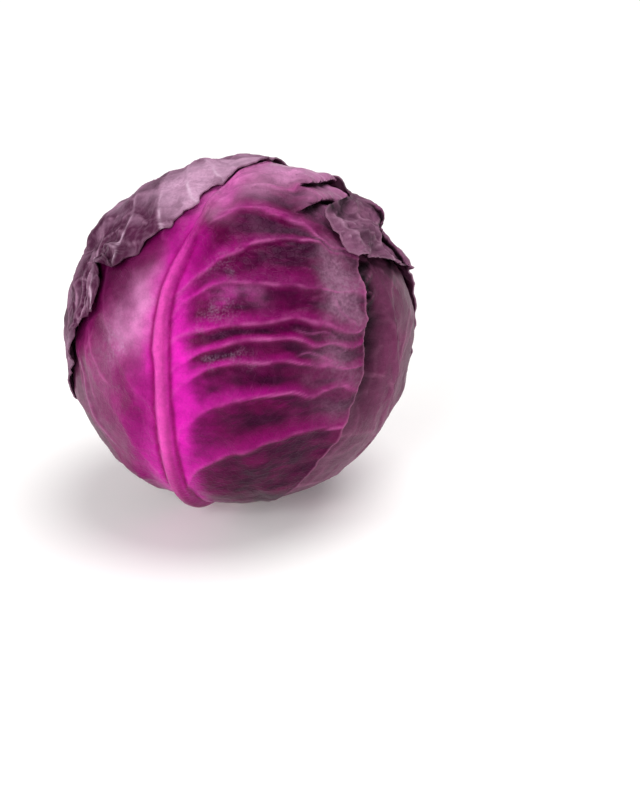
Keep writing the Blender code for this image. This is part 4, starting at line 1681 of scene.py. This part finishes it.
@dataclass
class Stalk:
    """The cut stump at the foot, a short cone with a flat cut face.

    insets are the rings of its flat ends, from the edge inwards. Lengths are in metres.
    """

    finish: StalkFinish
    node: str = "stalk"
    slot: str = "cut_stalk"
    sides: int = 96
    bevel: float = 0.0006
    edge_angle: float = 40.0
    insets: tuple[float, ...] = (0.0012, 0.0014, 0.003, 0.003, 0.003)
    furrows: float = 17.0
    furrow_depth: float = 0.012
    furrow_ramp: Pair = (0.012, 0.015)
    dry_ramp: Pair = (0.0135, 0.0158)
    ring_radius: float = 0.0118
    ring_width: float = 0.0012

    def build(self, shared: SharedEffects) -> Piece:
        """Model and dress the stump."""
        thing = self.mesh()
        self.weather(thing)
        thing.select_set(True)
        bpy.ops.object.shade_smooth_by_angle(angle=math.radians(self.edge_angle))
        thing.data.materials.append(self.finish.build(shared))
        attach(thing, "root")
        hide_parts(self.node)
        return thing

    def mesh(self) -> Piece:
        """A fine cone that fills the node's box, with a worn edge."""
        low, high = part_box(self.node)
        height = high[2] - low[2]
        slope = math.tan(math.radians(STALK_HALF_ANGLE))
        deselect_all()
        bpy.ops.mesh.primitive_cone_add(
            vertices=self.sides, radius1=CENTRE_HEIGHT * slope,
            radius2=(CENTRE_HEIGHT - height) * slope, depth=height, location=(0, 0, height / 2),
        )
        thing = as_piece(self.node + "_cut")
        bpy.ops.object.transform_apply(location=True, rotation=True, scale=True)
        bpy.ops.object.mode_set(mode="EDIT")
        bpy.ops.mesh.select_mode(type="FACE")
        bpy.ops.mesh.select_all(action="SELECT")
        for thickness in self.insets:
            bpy.ops.object.mode_set(mode="OBJECT")
            for face in thing.data.polygons:
                face.select = abs(face.normal.z) > 0.9 and len(face.vertices) > 4
            bpy.ops.object.mode_set(mode="EDIT")
            bpy.ops.mesh.inset(thickness=thickness, depth=0.0)
        bpy.ops.object.mode_set(mode="OBJECT")
        for face in thing.data.polygons:
            face.select = abs(face.normal.z) < 0.9
        bpy.ops.object.mode_set(mode="EDIT")
        bpy.ops.mesh.subdivide(number_cuts=1)
        bpy.ops.object.mode_set(mode="OBJECT")
        round_edge = thing.modifiers.new("worn", "BEVEL")
        round_edge.width = self.bevel
        round_edge.segments = 3
        round_edge.limit_method = "ANGLE"
        round_edge.angle_limit = math.radians(self.edge_angle)
        apply_modifier(thing, round_edge)
        return thing

    def weather(self, thing: Piece) -> None:
        """Furrow the flank and mark the ring and the dry edge."""
        place = read_points(thing)
        radius = np.hypot(place[:, 0], place[:, 1])
        turn = np.arctan2(place[:, 1], place[:, 0])
        uneven = Noise(5).plain(turn * 2.0, 0 * turn)
        wave = 0.5 + 0.5 * np.sin(self.furrows * turn + 2.0 * uneven)
        shrink = 1.0 - self.furrow_depth * wave * smooth_step(radius, *self.furrow_ramp)
        place[:, 0] *= shrink
        place[:, 1] *= shrink
        write_points(thing, place)
        ring = bell(radius - self.ring_radius, self.ring_width)
        write_marks(thing, {"ring": ring, "dry": smooth_step(radius, *self.dry_ramp)})


@dataclass(frozen=True)
class Lamp:
    """One soft light; a sun when its size is an angle in degrees and its power is per area."""

    name: str
    kind: LampKind
    place: tuple[float, float, float]
    power: float
    size: float
    colour: Colour = (1.0, 1.0, 1.0)


@dataclass
class Studio:
    """Pale floor, soft light and the camera at the photograph's angle.

    The picture is 640 by 786 pixels, and the head's middle stands at head_pixel.
    """

    picture: tuple[int, int] = (640, 786)
    head_pixel: Pair = (239.5, 329.0)
    focal_pixels: float = 2175.0
    elevation: float = 23.0
    distance: float = 1.0
    sensor: float = 36.0
    world: float = 0.26
    floor_colour: Colour = (0.93, 0.925, 0.92)
    floor_glow: float = 0.10
    lamps: tuple[Lamp, ...] = (
        Lamp("overhead", LampKind.SUN, (0.28, 0.10, 1.0), 2.3, 50.0, (1.0, 0.99, 0.98)),
        Lamp("front", LampKind.AREA, (-0.50, -1.20, 0.70), 11.0, 0.6, (1.0, 0.99, 0.98)),
        Lamp("window", LampKind.AREA, (-1.30, -0.35, 0.55), 6.0, 0.7, (1.0, 0.99, 0.98)),
    )

    def build(self) -> None:
        """Set the stage."""
        self.floor()
        self.sky()
        for lamp in self.lamps:
            self.light(lamp)
        self.camera()

    def floor(self) -> None:
        """A wide pale floor."""
        deselect_all()
        bpy.ops.mesh.primitive_plane_add(size=60.0, location=(0, 0, 0))
        thing = as_piece("floor")
        material, _, shader = new_material("pale_floor")
        shader.inputs["Base Color"].default_value = (*self.floor_colour, 1.0)
        shader.inputs["Roughness"].default_value = 0.9
        shader.inputs["Specular IOR Level"].default_value = 0.1
        shader.inputs["Emission Color"].default_value = (1.0, 1.0, 1.0, 1.0)
        shader.inputs["Emission Strength"].default_value = self.floor_glow
        thing.data.materials.append(material)

    def sky(self) -> None:
        """Even white light from all round."""
        world = bpy.data.worlds.new("studio")
        world.use_nodes = True
        nodes = Nodes(world.node_tree)
        back = world.node_tree.nodes["Background"]
        back.inputs["Color"].default_value = (1.0, 1.0, 1.0, 1.0)
        seen = world.node_tree.nodes.new("ShaderNodeLightPath").outputs["Is Camera Ray"]
        extra = nodes.math("MULTIPLY", seen, 1.0 - self.world)
        nodes.put(back.inputs["Strength"], nodes.math("ADD", extra, self.world))
        bpy.context.scene.world = world

    def light(self, lamp: Lamp) -> None:
        """One lamp that looks at the head."""
        data = bpy.data.lights.new(lamp.name, lamp.kind.value)
        data.energy = lamp.power
        if lamp.kind is LampKind.SUN:
            data.angle = math.radians(lamp.size)
        else:
            data.size = lamp.size
        data.color = lamp.colour
        thing = bpy.data.objects.new(lamp.name, data)
        bpy.context.scene.collection.objects.link(thing)
        place = np.array(lamp.place)
        thing.matrix_world = self.looking(place, HEAD_CENTRE - place)

    @staticmethod
    def looking(place: Array, ahead: Array) -> Matrix:
        """Matrix of something at a place whose -Z looks ahead, with +Y upwards."""
        back = -ahead / np.linalg.norm(ahead)
        right = np.cross([0.0, 0.0, 1.0], back)
        right /= np.linalg.norm(right)
        up = np.cross(back, right)
        rows = np.eye(4)
        rows[:3, 0], rows[:3, 1], rows[:3, 2], rows[:3, 3] = right, up, back, place
        return Matrix(rows.tolist())

    def camera(self) -> None:
        """The camera, turned so that the head stands where the photograph has it."""
        tilt = math.radians(self.elevation)
        place = HEAD_CENTRE + self.distance * np.array([0.0, -math.cos(tilt), math.sin(tilt)])
        ahead = (HEAD_CENTRE - place) / np.linalg.norm(HEAD_CENTRE - place)
        right = np.array([1.0, 0.0, 0.0])
        up = np.cross(right, ahead)
        off_right = (self.head_pixel[0] - self.picture[0] / 2) / self.focal_pixels
        off_up = (self.picture[1] / 2 - self.head_pixel[1]) / self.focal_pixels
        aim = ahead - off_right * right - off_up * up
        data = bpy.data.cameras.new("camera")
        data.sensor_width = self.sensor
        data.lens = self.sensor * self.focal_pixels / max(self.picture)
        thing = bpy.data.objects.new("camera", data)
        bpy.context.scene.collection.objects.link(thing)
        thing.matrix_world = self.looking(place, aim)
        bpy.context.scene.camera = thing
        bpy.context.scene.view_settings.view_transform = "Standard"


BACK_SHAPE = LeafShape(
    name="back_leaf", longitude=-178.0, foot_half_width=38.0, seed=11,
    rows=(
        ((-36, -64), (1, -74), (34, -66)),
        ((-58, -34), (2, -50), (56, -36)),
        ((-66, -4), (0, -22), (66, -6)),
        ((-66, 26), (-2, 8), (66, 24)),
        ((-52, 48), (0, 34), (52, 46)),
        ((-26, 62), (2, 66), (30, 62)),
    ),
    side_ribs=6, cells=(120, 130),
)

LEFT_SHAPE = LeafShape(
    name="left_leaf", longitude=-100.0, foot_half_width=38.0, seed=23,
    rows=(
        ((-34, -66), (-1, -76), (38, -66)),
        ((-56, -36), (0, -52), (58, -40)),
        ((-64, -6), (2, -24), (66, -8)),
        ((-62, 24), (1, 6), (64, 20)),
        ((-48, 44), (-2, 32), (50, 42)),
        ((-22, 56), (0, 60), (26, 56)),
    ),
    side_ribs=6, cells=(140, 140),
)

RIGHT_SHAPE = LeafShape(
    name="right_leaf", longitude=62.0, foot_half_width=38.0, seed=37,
    rows=(
        ((-36, -66), (1, -76), (36, -66)),
        ((-58, -36), (0, -52), (58, -38)),
        ((-66, -6), (-2, -24), (66, -6)),
        ((-62, 24), (-1, 8), (64, 24)),
        ((-46, 46), (2, 34), (50, 46)),
        ((-20, 60), (4, 66), (28, 60)),
    ),
    side_ribs=6, rib_height=0.0006, facet_height=0.0004, midrib_height=0.0010,
    midrib_width=0.0034, midrib_fade=(0.6, 0.1), wrinkles=(Wrinkles(-12, 13, 0.0016, 5.0, 5.0),),
    ridges=(
        Ridge(
            ((-1, 17), (-6, 15.5), (-9.6, 13.4), (-7.6, 10), (-11.5, 7.5), (-9, 4)),
            0.0024, 1.0, 0.9, 0.5,
        ),
        Ridge(((-20, -3), (-16, -4.5), (-13, -6), (-15, -9), (-20, -8.5)), 0.0022, 1.0, 0.8, 0.5),
        Ridge(((21, -1), (11.2, -4.3), (3.8, -9.5), (-0.5, -16), (-3, -21.5)), 0.0004, 1.5, 0.8),
    ),
    cells=(170, 180),
)

FRONT_SHAPE = LeafShape(
    name="front_leaf", longitude=-26.0, foot_half_width=42.0, seed=41,
    rows=(
        ((-29, -42), (-2, -76), (34, -70)),
        ((-40, -9), (-1, -56), (57, -36)),
        ((-50, 14), (1, -34), (67, -6)),
        ((-58, 34), (1, -12), (66, 14)),
        ((-62, 54), (-1, 14), (62, 32)),
        ((-58, 74), (1, 40), (60, 50)),
        ((-42, 92), (2, 64), (70, 68)),
        ((-12, 104), (8, 92), (62, 86)),
    ),
    arch=(5.5, 9.0),
    ribs=(
        ((1, -62), (5, -49), (14, -39), (32, -30), (50, -25), (66, -23)),
        ((1, -44), (6.5, -27), (11.3, -21.2), (18.7, -15.6), (26.4, -12.4), (45, -10), (66, -9)),
        ((1, -28), (4.5, -15.3), (9, -8.6), (15.1, -4.5), (23.9, -0.8), (40.8, 0.8), (66, -1)),
        ((1, -19), (4, -6.9), (9.4, -1.6), (17.3, 3.7), (27.5, 7.3), (39.9, 8.1), (66, 7)),
        ((0, -10), (2.5, 1.4), (8.9, 7.1), (19.4, 10.3), (30.4, 12.8), (42.1, 15.1), (64, 14)),
        ((-1, 5), (3.6, 13.9), (9.5, 19.7), (16.7, 23.2), (24.2, 25.2), (40, 26.6), (64, 27)),
        ((0, 14), (5.5, 22.2), (11.8, 29.3), (18.4, 34.8), (24.3, 39.9), (40, 44.4), (58, 42)),
        ((2, 38), (7.4, 47), (16.3, 51.4), (31.1, 50.5), (45, 47), (58, 44)),
        ((4, 54), (12, 62), (24, 66), (38, 66), (52, 64)),
        ((5, 66), (14, 76), (30, 82), (50, 84)),
        ((-2, -76), (-6, -54), (-14.2, -29), (-21.1, -22.2), (-29.6, -12.1), (-36, 0), (-44, 14)),
        ((0, -36), (-2, -24), (-8, -14), (-16, -6), (-24, 6), (-34, 24), (-48, 44)),
        ((0, 4), (-2, 24), (-6.7, 34), (-10.6, 38), (-16, 60)),
    ),
    midrib_height=0.0042, midrib_width=0.0050, midrib_fade=(0.80, 0.55), left_calm=0.22,
    rib_height=0.0010, stir=2.6,
    facet_size=12.0, facet_height=0.00020, net_height=0.00003, ruffle=0.00055,
    margin_lift=(0.0006, 0.0022, 0.0), tooth_depth=0.8, tooth_pitch=13.0, top_teeth=False,
    swells=(
        Swell(-22, -8, 0.0018, 14.0), Swell(30, 15, 0.0010, 18.0), Swell(2, -74, 0.0016, 10.0),
        Swell(22, 64, 0.0012, 9.0),
    ),
    ridges=(
        Ridge(((56, -24), (62, -8), (64, 6), (63, 18), (58, 30)), 0.0042, 7.0),
        Ridge(((54, 20), (57, 27), (55, 34)), 0.0012, 3.0),
        Ridge(((48, -4), (54, 6), (56, 16), (52, 26)), -0.0010, 2.6),
        Ridge(((6, 52), (18, 56), (30, 53), (44, 52)), 0.0012, 3.0),
        Ridge(((8, 58), (18, 64), (28, 64), (36, 61)), 0.0008, 1.6, 0.5),
        Ridge(((10, 68), (20, 78), (30, 80), (40, 74)), 0.0008, 1.6, 0.5),
        Ridge(((10, 70), (20, 74), (32, 72)), 0.0010, 3.4),
        Ridge(((40, 62), (46, 68), (54, 76), (64, 78)), 0.0014, 3.0),
        Ridge(((3, 60), (12, 61.4), (19.4, 65.6), (26, 69)), 0.0006, 1.1, 0.8),
        Ridge(((2, 50), (12.8, 50.8), (23.9, 52.8), (33.4, 52.6)), 0.0005, 1.0, 0.7),
        Ridge(((8, 72), (16, 77), (24.2, 79.2), (31, 77)), 0.0006, 1.1, 0.8),
        Ridge(((12, 31), (16, 33), (18.2, 34.8), (17, 37)), 0.0003, 0.7, 0.9),
        Ridge(((40, 12), (46, 11), (52, 12), (57, 10)), 0.0007, 1.2, 0.8),
        Ridge(((43, 3), (47, 4.4), (53, 2.6), (60, 0)), 0.0009, 1.2, 0.9),
        Ridge(((52, 26), (55, 21), (59, 17), (62, 15)), 0.0010, 1.3, 0.5),
        Ridge(((-31, 4), (-32, -6), (-30, -18), (-27, -26)), 0.0003, 0.8, 0.6),
        Ridge(((-39, -6), (-34.6, -15), (-32, -24), (-27, -34), (-22.6, -43)), 0.0007, 1.0, 1.0),
        Ridge(((-35.6, 1.6), (-29.4, -5.6), (-24.3, -12.3), (-19.5, -16.1)), 0.0003, 0.9, 0.9),
    ),
    folds=(
        Fold(((30, 55), (37, 58), (41, 64), (47, 71), (58, 71), (74, 71)), 0.0044, 12.0),
        Fold(((27, 66), (33, 69), (37, 77), (41, 89), (44, 98)), 0.0040, 9.0, 3.0, 5.2),
    ),
    wrinkles=(
        Wrinkles(56, 8, 0.0020, 9.0, 6.0, 0.35), Wrinkles(44, 60, 0.0009, 9.0, 6.0, 0.4),
        Wrinkles(52, 26, 0.0014, 8.0, 5.0, 0.3), Wrinkles(28, 76, 0.0007, 12.0, 7.0, 0.4),
        Wrinkles(28, 12, 0.0005, 26.0, 4.5, 0.0), Wrinkles(30, 46, 0.0006, 14.0, 6.0, 0.0),
    ),
    cells=(190, 250), row_pull=-0.24,
)

FLAP_SHAPE = LeafShape(
    name="flap_leaf", longitude=118.0, foot_half_width=38.0, seed=53,
    rows=(
        ((-18, -72), (-1, -76), (34, -64)),
        ((-23, -44), (0, -54), (54, -36)),
        ((-23, -20), (1, -30), (62, -8)),
        ((-25, 3), (0, -8), (62, 18)),
        ((-36, 16), (-1, 14), (58, 40)),
        ((-45, 28), (3, 30), (52, 50)),
        ((-52, 36.5), (6, 40), (40, 60)),
    ),
    top=(
        (-52, 36.5), (-50.3, 40.3), (-45.8, 44), (-41, 47.3), (-35, 50.3), (-29, 47), (-23, 42),
        (-17, 38), (-11, 36.5), (-3, 37), (6, 40), (14, 48), (23, 56), (32, 60), (40, 60), (48, 54),
    ),
    arch=(5.0, 8.0), rib_height=0.0008, facet_size=8.0, facet_height=0.0007, net_height=0.00020,
    tooth_depth=0.8, tooth_pitch=8.0, top_teeth=False, margin_lift=(0.0020, 0.0003, 0.0004),
    ridges=(
        Ridge(((-36, 50), (-37, 43), (-32, 36), (-31, 31), (-35, 27)), 0.0012, 1.6, 0.7),
        Ridge(((-46, 42), (-40, 38), (-36, 30), (-38, 22)), 0.0010, 1.5, 0.5),
        Ridge(((-26, 39), (-28, 34), (-30, 29.4), (-36, 27), (-41, 30)), 0.0014, 1.1, 0.9, 0.5),
        Ridge(((-16, 18), (-23, 23), (-29, 28), (-36, 21), (-30, 12), (-24, 4)), -0.0012, 1.0),
        Ridge(((-33, 47), (-38, 45), (-43, 39), (-47, 34)), 0.0010, 1.2, 0.8, 0.5),
    ),
    folds=(Fold(((-14, 37), (-20, 27), (-28, 23), (-33, 14), (-34, 6)), 0.0022, 8.0, 2.0, 2.6),),
    wrinkles=(
        Wrinkles(-38, 38, 0.0034, 11.0, 5.5, 1.0), Wrinkles(-18, 20, 0.0018, 16.0, 8.0, 0.8),
    ),
    cells=(200, 210),
)

CAP_SHAPE = LeafShape(
    name="cap_leaf", longitude=-150.0, foot_half_width=42.0, seed=67,
    rows=(
        ((-34, -68), (0, -77), (36, -68)),
        ((-54, -42), (1, -56), (60, -44)),
        ((-62, -16), (2, -32), (76, -20)),
        ((-66, 8), (1, -8), (84, -2)),
        ((-66, 26), (-1, 16), (83, 11)),
        ((-64, 40), (0, 42), (81, 21)),
        ((-58, 50), (3, 78), (83, 30)),
    ),
    top=(
        (-58, 50), (-46, 52), (-36, 53), (-29, 57), (-23.5, 63), (-18, 69), (-11, 74.2), (0, 78.3),
        (13, 82),
        (16, 80.5), (23, 79.3), (27, 79.8), (31.4, 82), (36, 79), (40, 77), (45, 75.6), (48, 76),
        (50.6, 72), (54, 68), (56, 65), (60, 63), (63.7, 60.6), (65, 54.5), (67.5, 52), (68.5, 48),
        (66, 45.8), (62, 44), (60, 40.6), (61, 38), (64.5, 37.5), (72, 38.7), (78, 34), (83, 30),
    ),
    arch=(6.0, 6.0),
    ribs=(
        ((0, -66), (12, -58), (28, -52), (46, -48)), ((0, -50), (14, -40), (32, -33), (58, -30)),
        ((0, -34), (16, -22), (36, -15), (62, -12), (76, -12)),
        ((0, -18), (16, -5), (36, 2), (60, 5), (82, 4)),
        ((0, -4), (16, 10), (36, 18), (58, 20), (82, 17)),
        ((0, 9), (14, 24), (32, 33), (50, 36), (64, 36), (82, 30)),
        ((0, 20), (12, 36), (28, 46), (44, 52), (66, 50)),
        ((0, 30), (10, 46), (24, 58), (36, 64), (48, 70), (50.6, 72)),
        ((0, 40), (8, 55), (18, 66), (29, 76), (31.4, 82)),
        ((1, 52), (5, 64), (10, 74), (13, 82)),
        ((0, -66), (-12, -58), (-28, -52), (-46, -48)),
        ((0, -48), (-14, -38), (-32, -31), (-56, -28)),
        ((0, -32), (-16, -20), (-34, -13), (-62, -9)), ((0, -15), (-15, -2), (-34, 6), (-64, 9)),
        ((0, 0), (-14, 14), (-32, 23), (-64, 26)), ((0, 16), (-12, 30), (-28, 40), (-58, 48)),
        ((0, 32), (-10, 46), (-22, 56), (-36, 60)), ((1, 46), (-5, 60), (-10, 68), (-16, 74)),
    ),
    rib_height=0.0006, facet_size=12.0, facet_height=0.0013, net_height=0.00018,
    midrib_fade=(0.75, 0.30),
    tooth_depth=2.2, tooth_pitch=12.0, top_teeth=False, margin_lift=(0.0004, 0.0008, 0.0004),
    swells=(Swell(62, 30, 0.0012, 8.0), Swell(80, 10, 0.0010, 9.0)),
    ridges=(
        Ridge(((56.5, 38.5), (57, 44), (61, 50), (65.5, 50.5), (68, 47.5)), 0.0022, 1.8, 0.8),
        Ridge(((58, 52), (60, 46), (63, 41), (62, 34)), 0.0016, 1.6, 0.6),
        Ridge(((64, 36), (68.5, 32), (76.6, 26), (82, 17)), 0.0012, 1.5, 0.8),
        Ridge(((62, 31), (68, 27), (74, 21), (80, 10)), 0.0012, 1.5, 0.7),
        Ridge(((70, 37), (75, 31), (81, 26)), 0.0010, 1.3, 0.6),
    ),
    wrinkles=(
        Wrinkles(62, 44, 0.0018, 6.0, 6.0, 0.5), Wrinkles(76, 20, 0.0012, 11.0, 8.0, 0.5),
        Wrinkles(-10, -10, 0.0005, 60.0, 12.0, 0.15),
    ),
    cells=(220, 216), row_pull=-0.12,
)

HEART_FINISH = LeafFinish(
    name="inner_leaves", blade=(0.16, 0.016, 0.080), vivid=(0.36, 0.02, 0.20),
    tip=(0.2, 0.04, 0.12), band=(0.07, 0.004, 0.036), core=(0.04, 0.002, 0.022),
    bloom=(0.20, 0.09, 0.15), wax=(0.4, 0.3, 0.4), pearl=(0.6, 0.3, 0.5), rib=(0.40, 0.13, 0.27),
    midrib=(0.45, 0.1, 0.28), groove=(0.2, 0.02, 0.1), foot=(0.55, 0.3, 0.38),
    rim=(0.4, 0.17, 0.28),
)

DARK_PLUM_FINISH = LeafFinish(
    name="dark_plum_leaf", blade=(0.110, 0.012, 0.055), vivid=(0.22, 0.020, 0.12),
    tip=(0.14, 0.04, 0.09), band=(0.058, 0.004, 0.028), core=(0.032, 0.002, 0.018),
    bloom=(0.18, 0.080, 0.135), wax=(0.38, 0.28, 0.38), pearl=(0.45, 0.24, 0.36),
    rib=(0.38, 0.13, 0.26), midrib=(0.36, 0.075, 0.22), groove=(0.10, 0.006, 0.05),
    foot=(0.50, 0.26, 0.34), rim=(0.46, 0.22, 0.34), net=0.26, rib_line=0.5, midrib_share=0.7,
)

PLUM_FINISH = LeafFinish(
    name="plum_leaf", blade=(0.115, 0.016, 0.060), vivid=(0.20, 0.030, 0.11),
    tip=(0.15, 0.05, 0.10), band=(0.075, 0.008, 0.038), core=(0.045, 0.004, 0.024),
    bloom=(0.18, 0.080, 0.130), wax=(0.40, 0.30, 0.40), pearl=(0.42, 0.22, 0.33),
    rib=(0.42, 0.16, 0.28), midrib=(0.26, 0.070, 0.165), groove=(0.10, 0.008, 0.05),
    foot=(0.50, 0.26, 0.34), rim=(0.48, 0.24, 0.36), net=0.16, rib_line=0.5, band_and_shade_depth=0.4,
    midrib_share=0.55,
)

MAGENTA_FINISH = LeafFinish(
    name="magenta_leaf", blade=(0.165, 0.0005, 0.078), vivid=(0.55, 0.009, 0.34),
    tip=(0.45, 0.17, 0.33), band=(0.082, 0.0, 0.034), core=(0.024, 0.0, 0.013),
    bloom=(0.24, 0.110, 0.185), wax=(0.34, 0.22, 0.33), pearl=(0.70, 0.31, 0.57),
    rib=(0.52, 0.115, 0.34), midrib=(0.56, 0.055, 0.33), groove=(0.20, 0.0, 0.090),
    foot=(0.20, 0.001, 0.085), rim=(0.42, 0.15, 0.28), glow=1.0, band_and_shade_depth=0.95, core_shade_depth=0.9,
    slope=0.62, film=0.75, net=0.03, facet=0.02, rib_line=0.34, rim_line=0.5, midrib_share=0.95,
    roughness=0.28, gloss=0.15, gleam=(1.0, 0.40, 0.80),
)

WRINKLED_FINISH = LeafFinish(
    name="wrinkled_leaf", blade=(0.130, 0.021, 0.082), vivid=(0.22, 0.036, 0.15),
    tip=(0.17, 0.060, 0.12), band=(0.075, 0.010, 0.044), core=(0.045, 0.006, 0.028),
    bloom=(0.27, 0.115, 0.205), wax=(0.42, 0.32, 0.42), pearl=(0.48, 0.28, 0.40),
    rib=(0.46, 0.22, 0.34), midrib=(0.34, 0.12, 0.24), groove=(0.10, 0.012, 0.055),
    foot=(0.50, 0.26, 0.34), rim=(0.46, 0.26, 0.37), net=0.30, rib_line=0.6, roughness=0.44,
    midrib_share=0.6, facet=0.40, rim_line=0.25,
)

MAUVE_FINISH = LeafFinish(
    name="waxy_mauve_leaf", blade=(0.060, 0.009, 0.036), vivid=(0.12, 0.018, 0.070),
    tip=(0.085, 0.016, 0.052), band=(0.050, 0.007, 0.032), core=(0.030, 0.004, 0.018),
    bloom=(0.50, 0.290, 0.430), wax=(0.45, 0.36, 0.45), pearl=(0.60, 0.42, 0.55),
    rib=(0.42, 0.22, 0.34), midrib=(0.30, 0.10, 0.20), groove=(0.07, 0.012, 0.042),
    foot=(0.45, 0.24, 0.31), rim=(0.20, 0.09, 0.15), film=0.85, net=0.38, facet=0.55,
    rib_line=0.55, rim_line=0.25, band_and_shade_depth=0.3, core_shade_depth=0.4, roughness=0.55, gloss=0.10,
    midrib_share=0.6,
)

LEAVES = (
    WrapperLeaf(BACK_SHAPE, DARK_PLUM_FINISH, "dusky_leaf"),
    WrapperLeaf(LEFT_SHAPE, DARK_PLUM_FINISH, "dark_plum_leaf"),
    WrapperLeaf(
        RIGHT_SHAPE, PLUM_FINISH, "plum_leaf",
        spots=(
            # Painted shadow in the gap under the front leaf's margin and under the wrinkled leaf's
            # lower edge, with less bloom there.
            *patches(
                Mark.SHADE, (-11, 12, 1.5, 3.0, 4.5), (-13, 4, 1.6, 3.2, 5.0),
                (-16, -4, 1.6, 3.2, 5.0), (-18, -12, 1.6, 3.4, 6.0), (-5, 20, 1.3, 6.0, 2.2),
                (10, 13, 1.1, 7.0, 2.2), (-10, 0, 0.45, 8.0, 16.0),
            ),
            *patches(Mark.BLOOM, (-13, 2, -0.6, 7.0, 16.0)),
        ),
    ),
    WrapperLeaf(
        FRONT_SHAPE, MAGENTA_FINISH, "magenta_leaf",
        # The glow, band, core and highlight spots about (20, 20) make a painted highlight; the band
        # and core spots about (-26, 23) paint shade under the cap leaf.
        spots=(
            # Painted highlights: a soft pale sheen left of the midrib, and smaller ones to its
            # right and near the top.
            *patches(
                Mark.PEARL, (-9.5, 12, 0.36, 5.0, 9.0), (-15, 5, 0.18, 5.0, 6.0),
                (16, 60, 0.15, 12.0, 3.0), (22, 21, 0.12, 5.0, 2.0), (20, 83, 0.50, 13.0, 7.0),
            ),
            *patches(
                Mark.GLOW, (-11, -8, 0.15, 8.0, 16.0), (-4, 38, -0.35, 5.0, 12.0),
                (6, 28, -0.35, 4.0, 13.0), (3, 52, 0.5, 4.0, 7.0), (8, -15, 0.7, 5.0, 14.0),
                (24, -12, 0.30, 13.0, 4.0), (20, 20, 0.5, 4.5, 3.0), (-7, -12, -0.45, 4.0, 15.0),
                (-3, -20, -0.30, 2.5, 16.0),
            ),
            *patches(
                Mark.WAX, (-17, -1, 0.55, 4.5, 5.0), (18, 16, 0.38, 4.5, 2.6),
                (14, 11, 0.30, 4.0, 2.2), (21, 0, 0.35, 7.0, 1.8), (16, 29, 0.30, 5.0, 3.0),
            ),
            *patches(
                Mark.BLOOM, (-19, -2, 0.5, 6.0, 7.0), (-31, -26, 1.0, 9.0, 13.0),
                (52, 38, 1.6, 5.0, 7.0), (56, 24, 1.6, 4.0, 6.0), (60, 15, 1.3, 4.0, 6.0),
                (56, 2, 0.8, 6.0, 5.0), (58, -12, 0.8, 6.0, 8.0),
            ),
            *patches(
                Mark.BAND, (-24, 22, 1.1, 8.0, 9.0), (-12, 33, 0.7, 5.0, 7.0),
                (6, 44, 0.9, 4.0, 7.0), (9, -16, -0.6, 4.0, 6.0), (20, 20, -0.8, 4.5, 2.6),
                (-8, -14, 0.30, 5.0, 13.0),
            ),
            *patches(
                Mark.CORE, (-28, 24, 0.8, 7.0, 9.0), (26, 44, 0.7, 12.0, 4.0),
                (20, 20, -0.9, 5.0, 3.0), (30, 24, 0.5, 13.0, 6.0), (38, -4, 0.3, 10.0, 5.0),
            ),
            *patches(
                Mark.SHADE, (10, 60, 0.22, 9.0, 1.8), (24, 70, 0.25, 9.0, 2.2),
                (26, 57, 0.22, 8.0, 1.8),
            ),
            *patches(Mark.GROOVE, (2.5, 40, 0.5, 2.0, 7.0)),
        ),
        bloom_base=-0.04, bloom_cloud=0.10, tip_rows=(0.68, 0.88),
    ),
    WrapperLeaf(
        FLAP_SHAPE, WRINKLED_FINISH, "wrinkled_leaf",
        spots=(
            *patches(
                Mark.SHADE, (-31, 48, 1.0, 2.6, 2.2), (-24, 43.5, 1.2, 3.5, 2.2),
                (-17, 39.5, 1.2, 3.5, 2.0), (-10, 37, 1.0, 4.0, 2.0), (-40, 33, 0.45, 3.0, 6.0),
                (-30, 30, 0.45, 4.0, 3.0),
            ),
            *patches(Mark.BLOOM, (-36, 42, 0.4, 5.0, 4.0)),
        ),
        bloom_base=0.35,
    ),
    WrapperLeaf(
        CAP_SHAPE, MAUVE_FINISH, "waxy_mauve_leaf",
        spots=(
            # Paler towards the top with more bloom and painted facet light; less of both lower down
            # and to the right, with painted shade there.
            *patches(
                Mark.BLOOM, (20, 71, 1.2, 13.0, 9.0), (56, 54, -0.7, 12.0, 9.0),
                (70, 32, -0.8, 15.0, 16.0), (78, 8, -0.5, 10.0, 14.0),
                (4, -26, -0.40, 50.0, 26.0), (-6, 72, 0.60, 9.0, 7.0),
            ),
            *patches(
                Mark.FACET, (57, 50, -0.8, 12.0, 10.0), (70, 28, -0.8, 16.0, 16.0),
                (18, 70, 0.45, 13.0, 9.0), (4, -26, -0.30, 50.0, 30.0), (-6, 72, 0.40, 9.0, 7.0),
            ),
            *patches(Mark.SHADE, (62, 46, 0.36, 11.0, 9.0), (36, 60, 0.20, 5.0, 7.0)),
        ),
        bloom_base=0.32,
    ),
)

HEART_DENTS = (
    (49.0, 22.0, 0.0050, 150.0), (49.0, 12.0, 0.0070, 150.0), (48.0, 2.0, 0.0070, 150.0),
    (46.0, -9.0, 0.0050, 150.0),
)


def main() -> None:
    """Build the head from the inside out, then the studio."""
    logging.basicConfig(level=logging.INFO, format="%(message)s")
    shared = SharedEffects()
    charts = [LeafChart(leaf.shape) for leaf in LEAVES]
    wrapping = Wrapping(HeadForm(), charts, HEART_DENTS)
    wrapping.settle(3)
    Stalk(StalkFinish()).build(shared)
    LOG.info("stalk")
    InnerHead(HEART_FINISH).build(wrapping, shared)
    LOG.info("inner head")
    for leaf, chart in zip(LEAVES, charts):
        piece = leaf.build(chart, wrapping, shared)
        LOG.info("%s: %d faces", piece.name, len(piece.data.polygons))
    Studio().build()


if __name__ == "__main__":
    main()
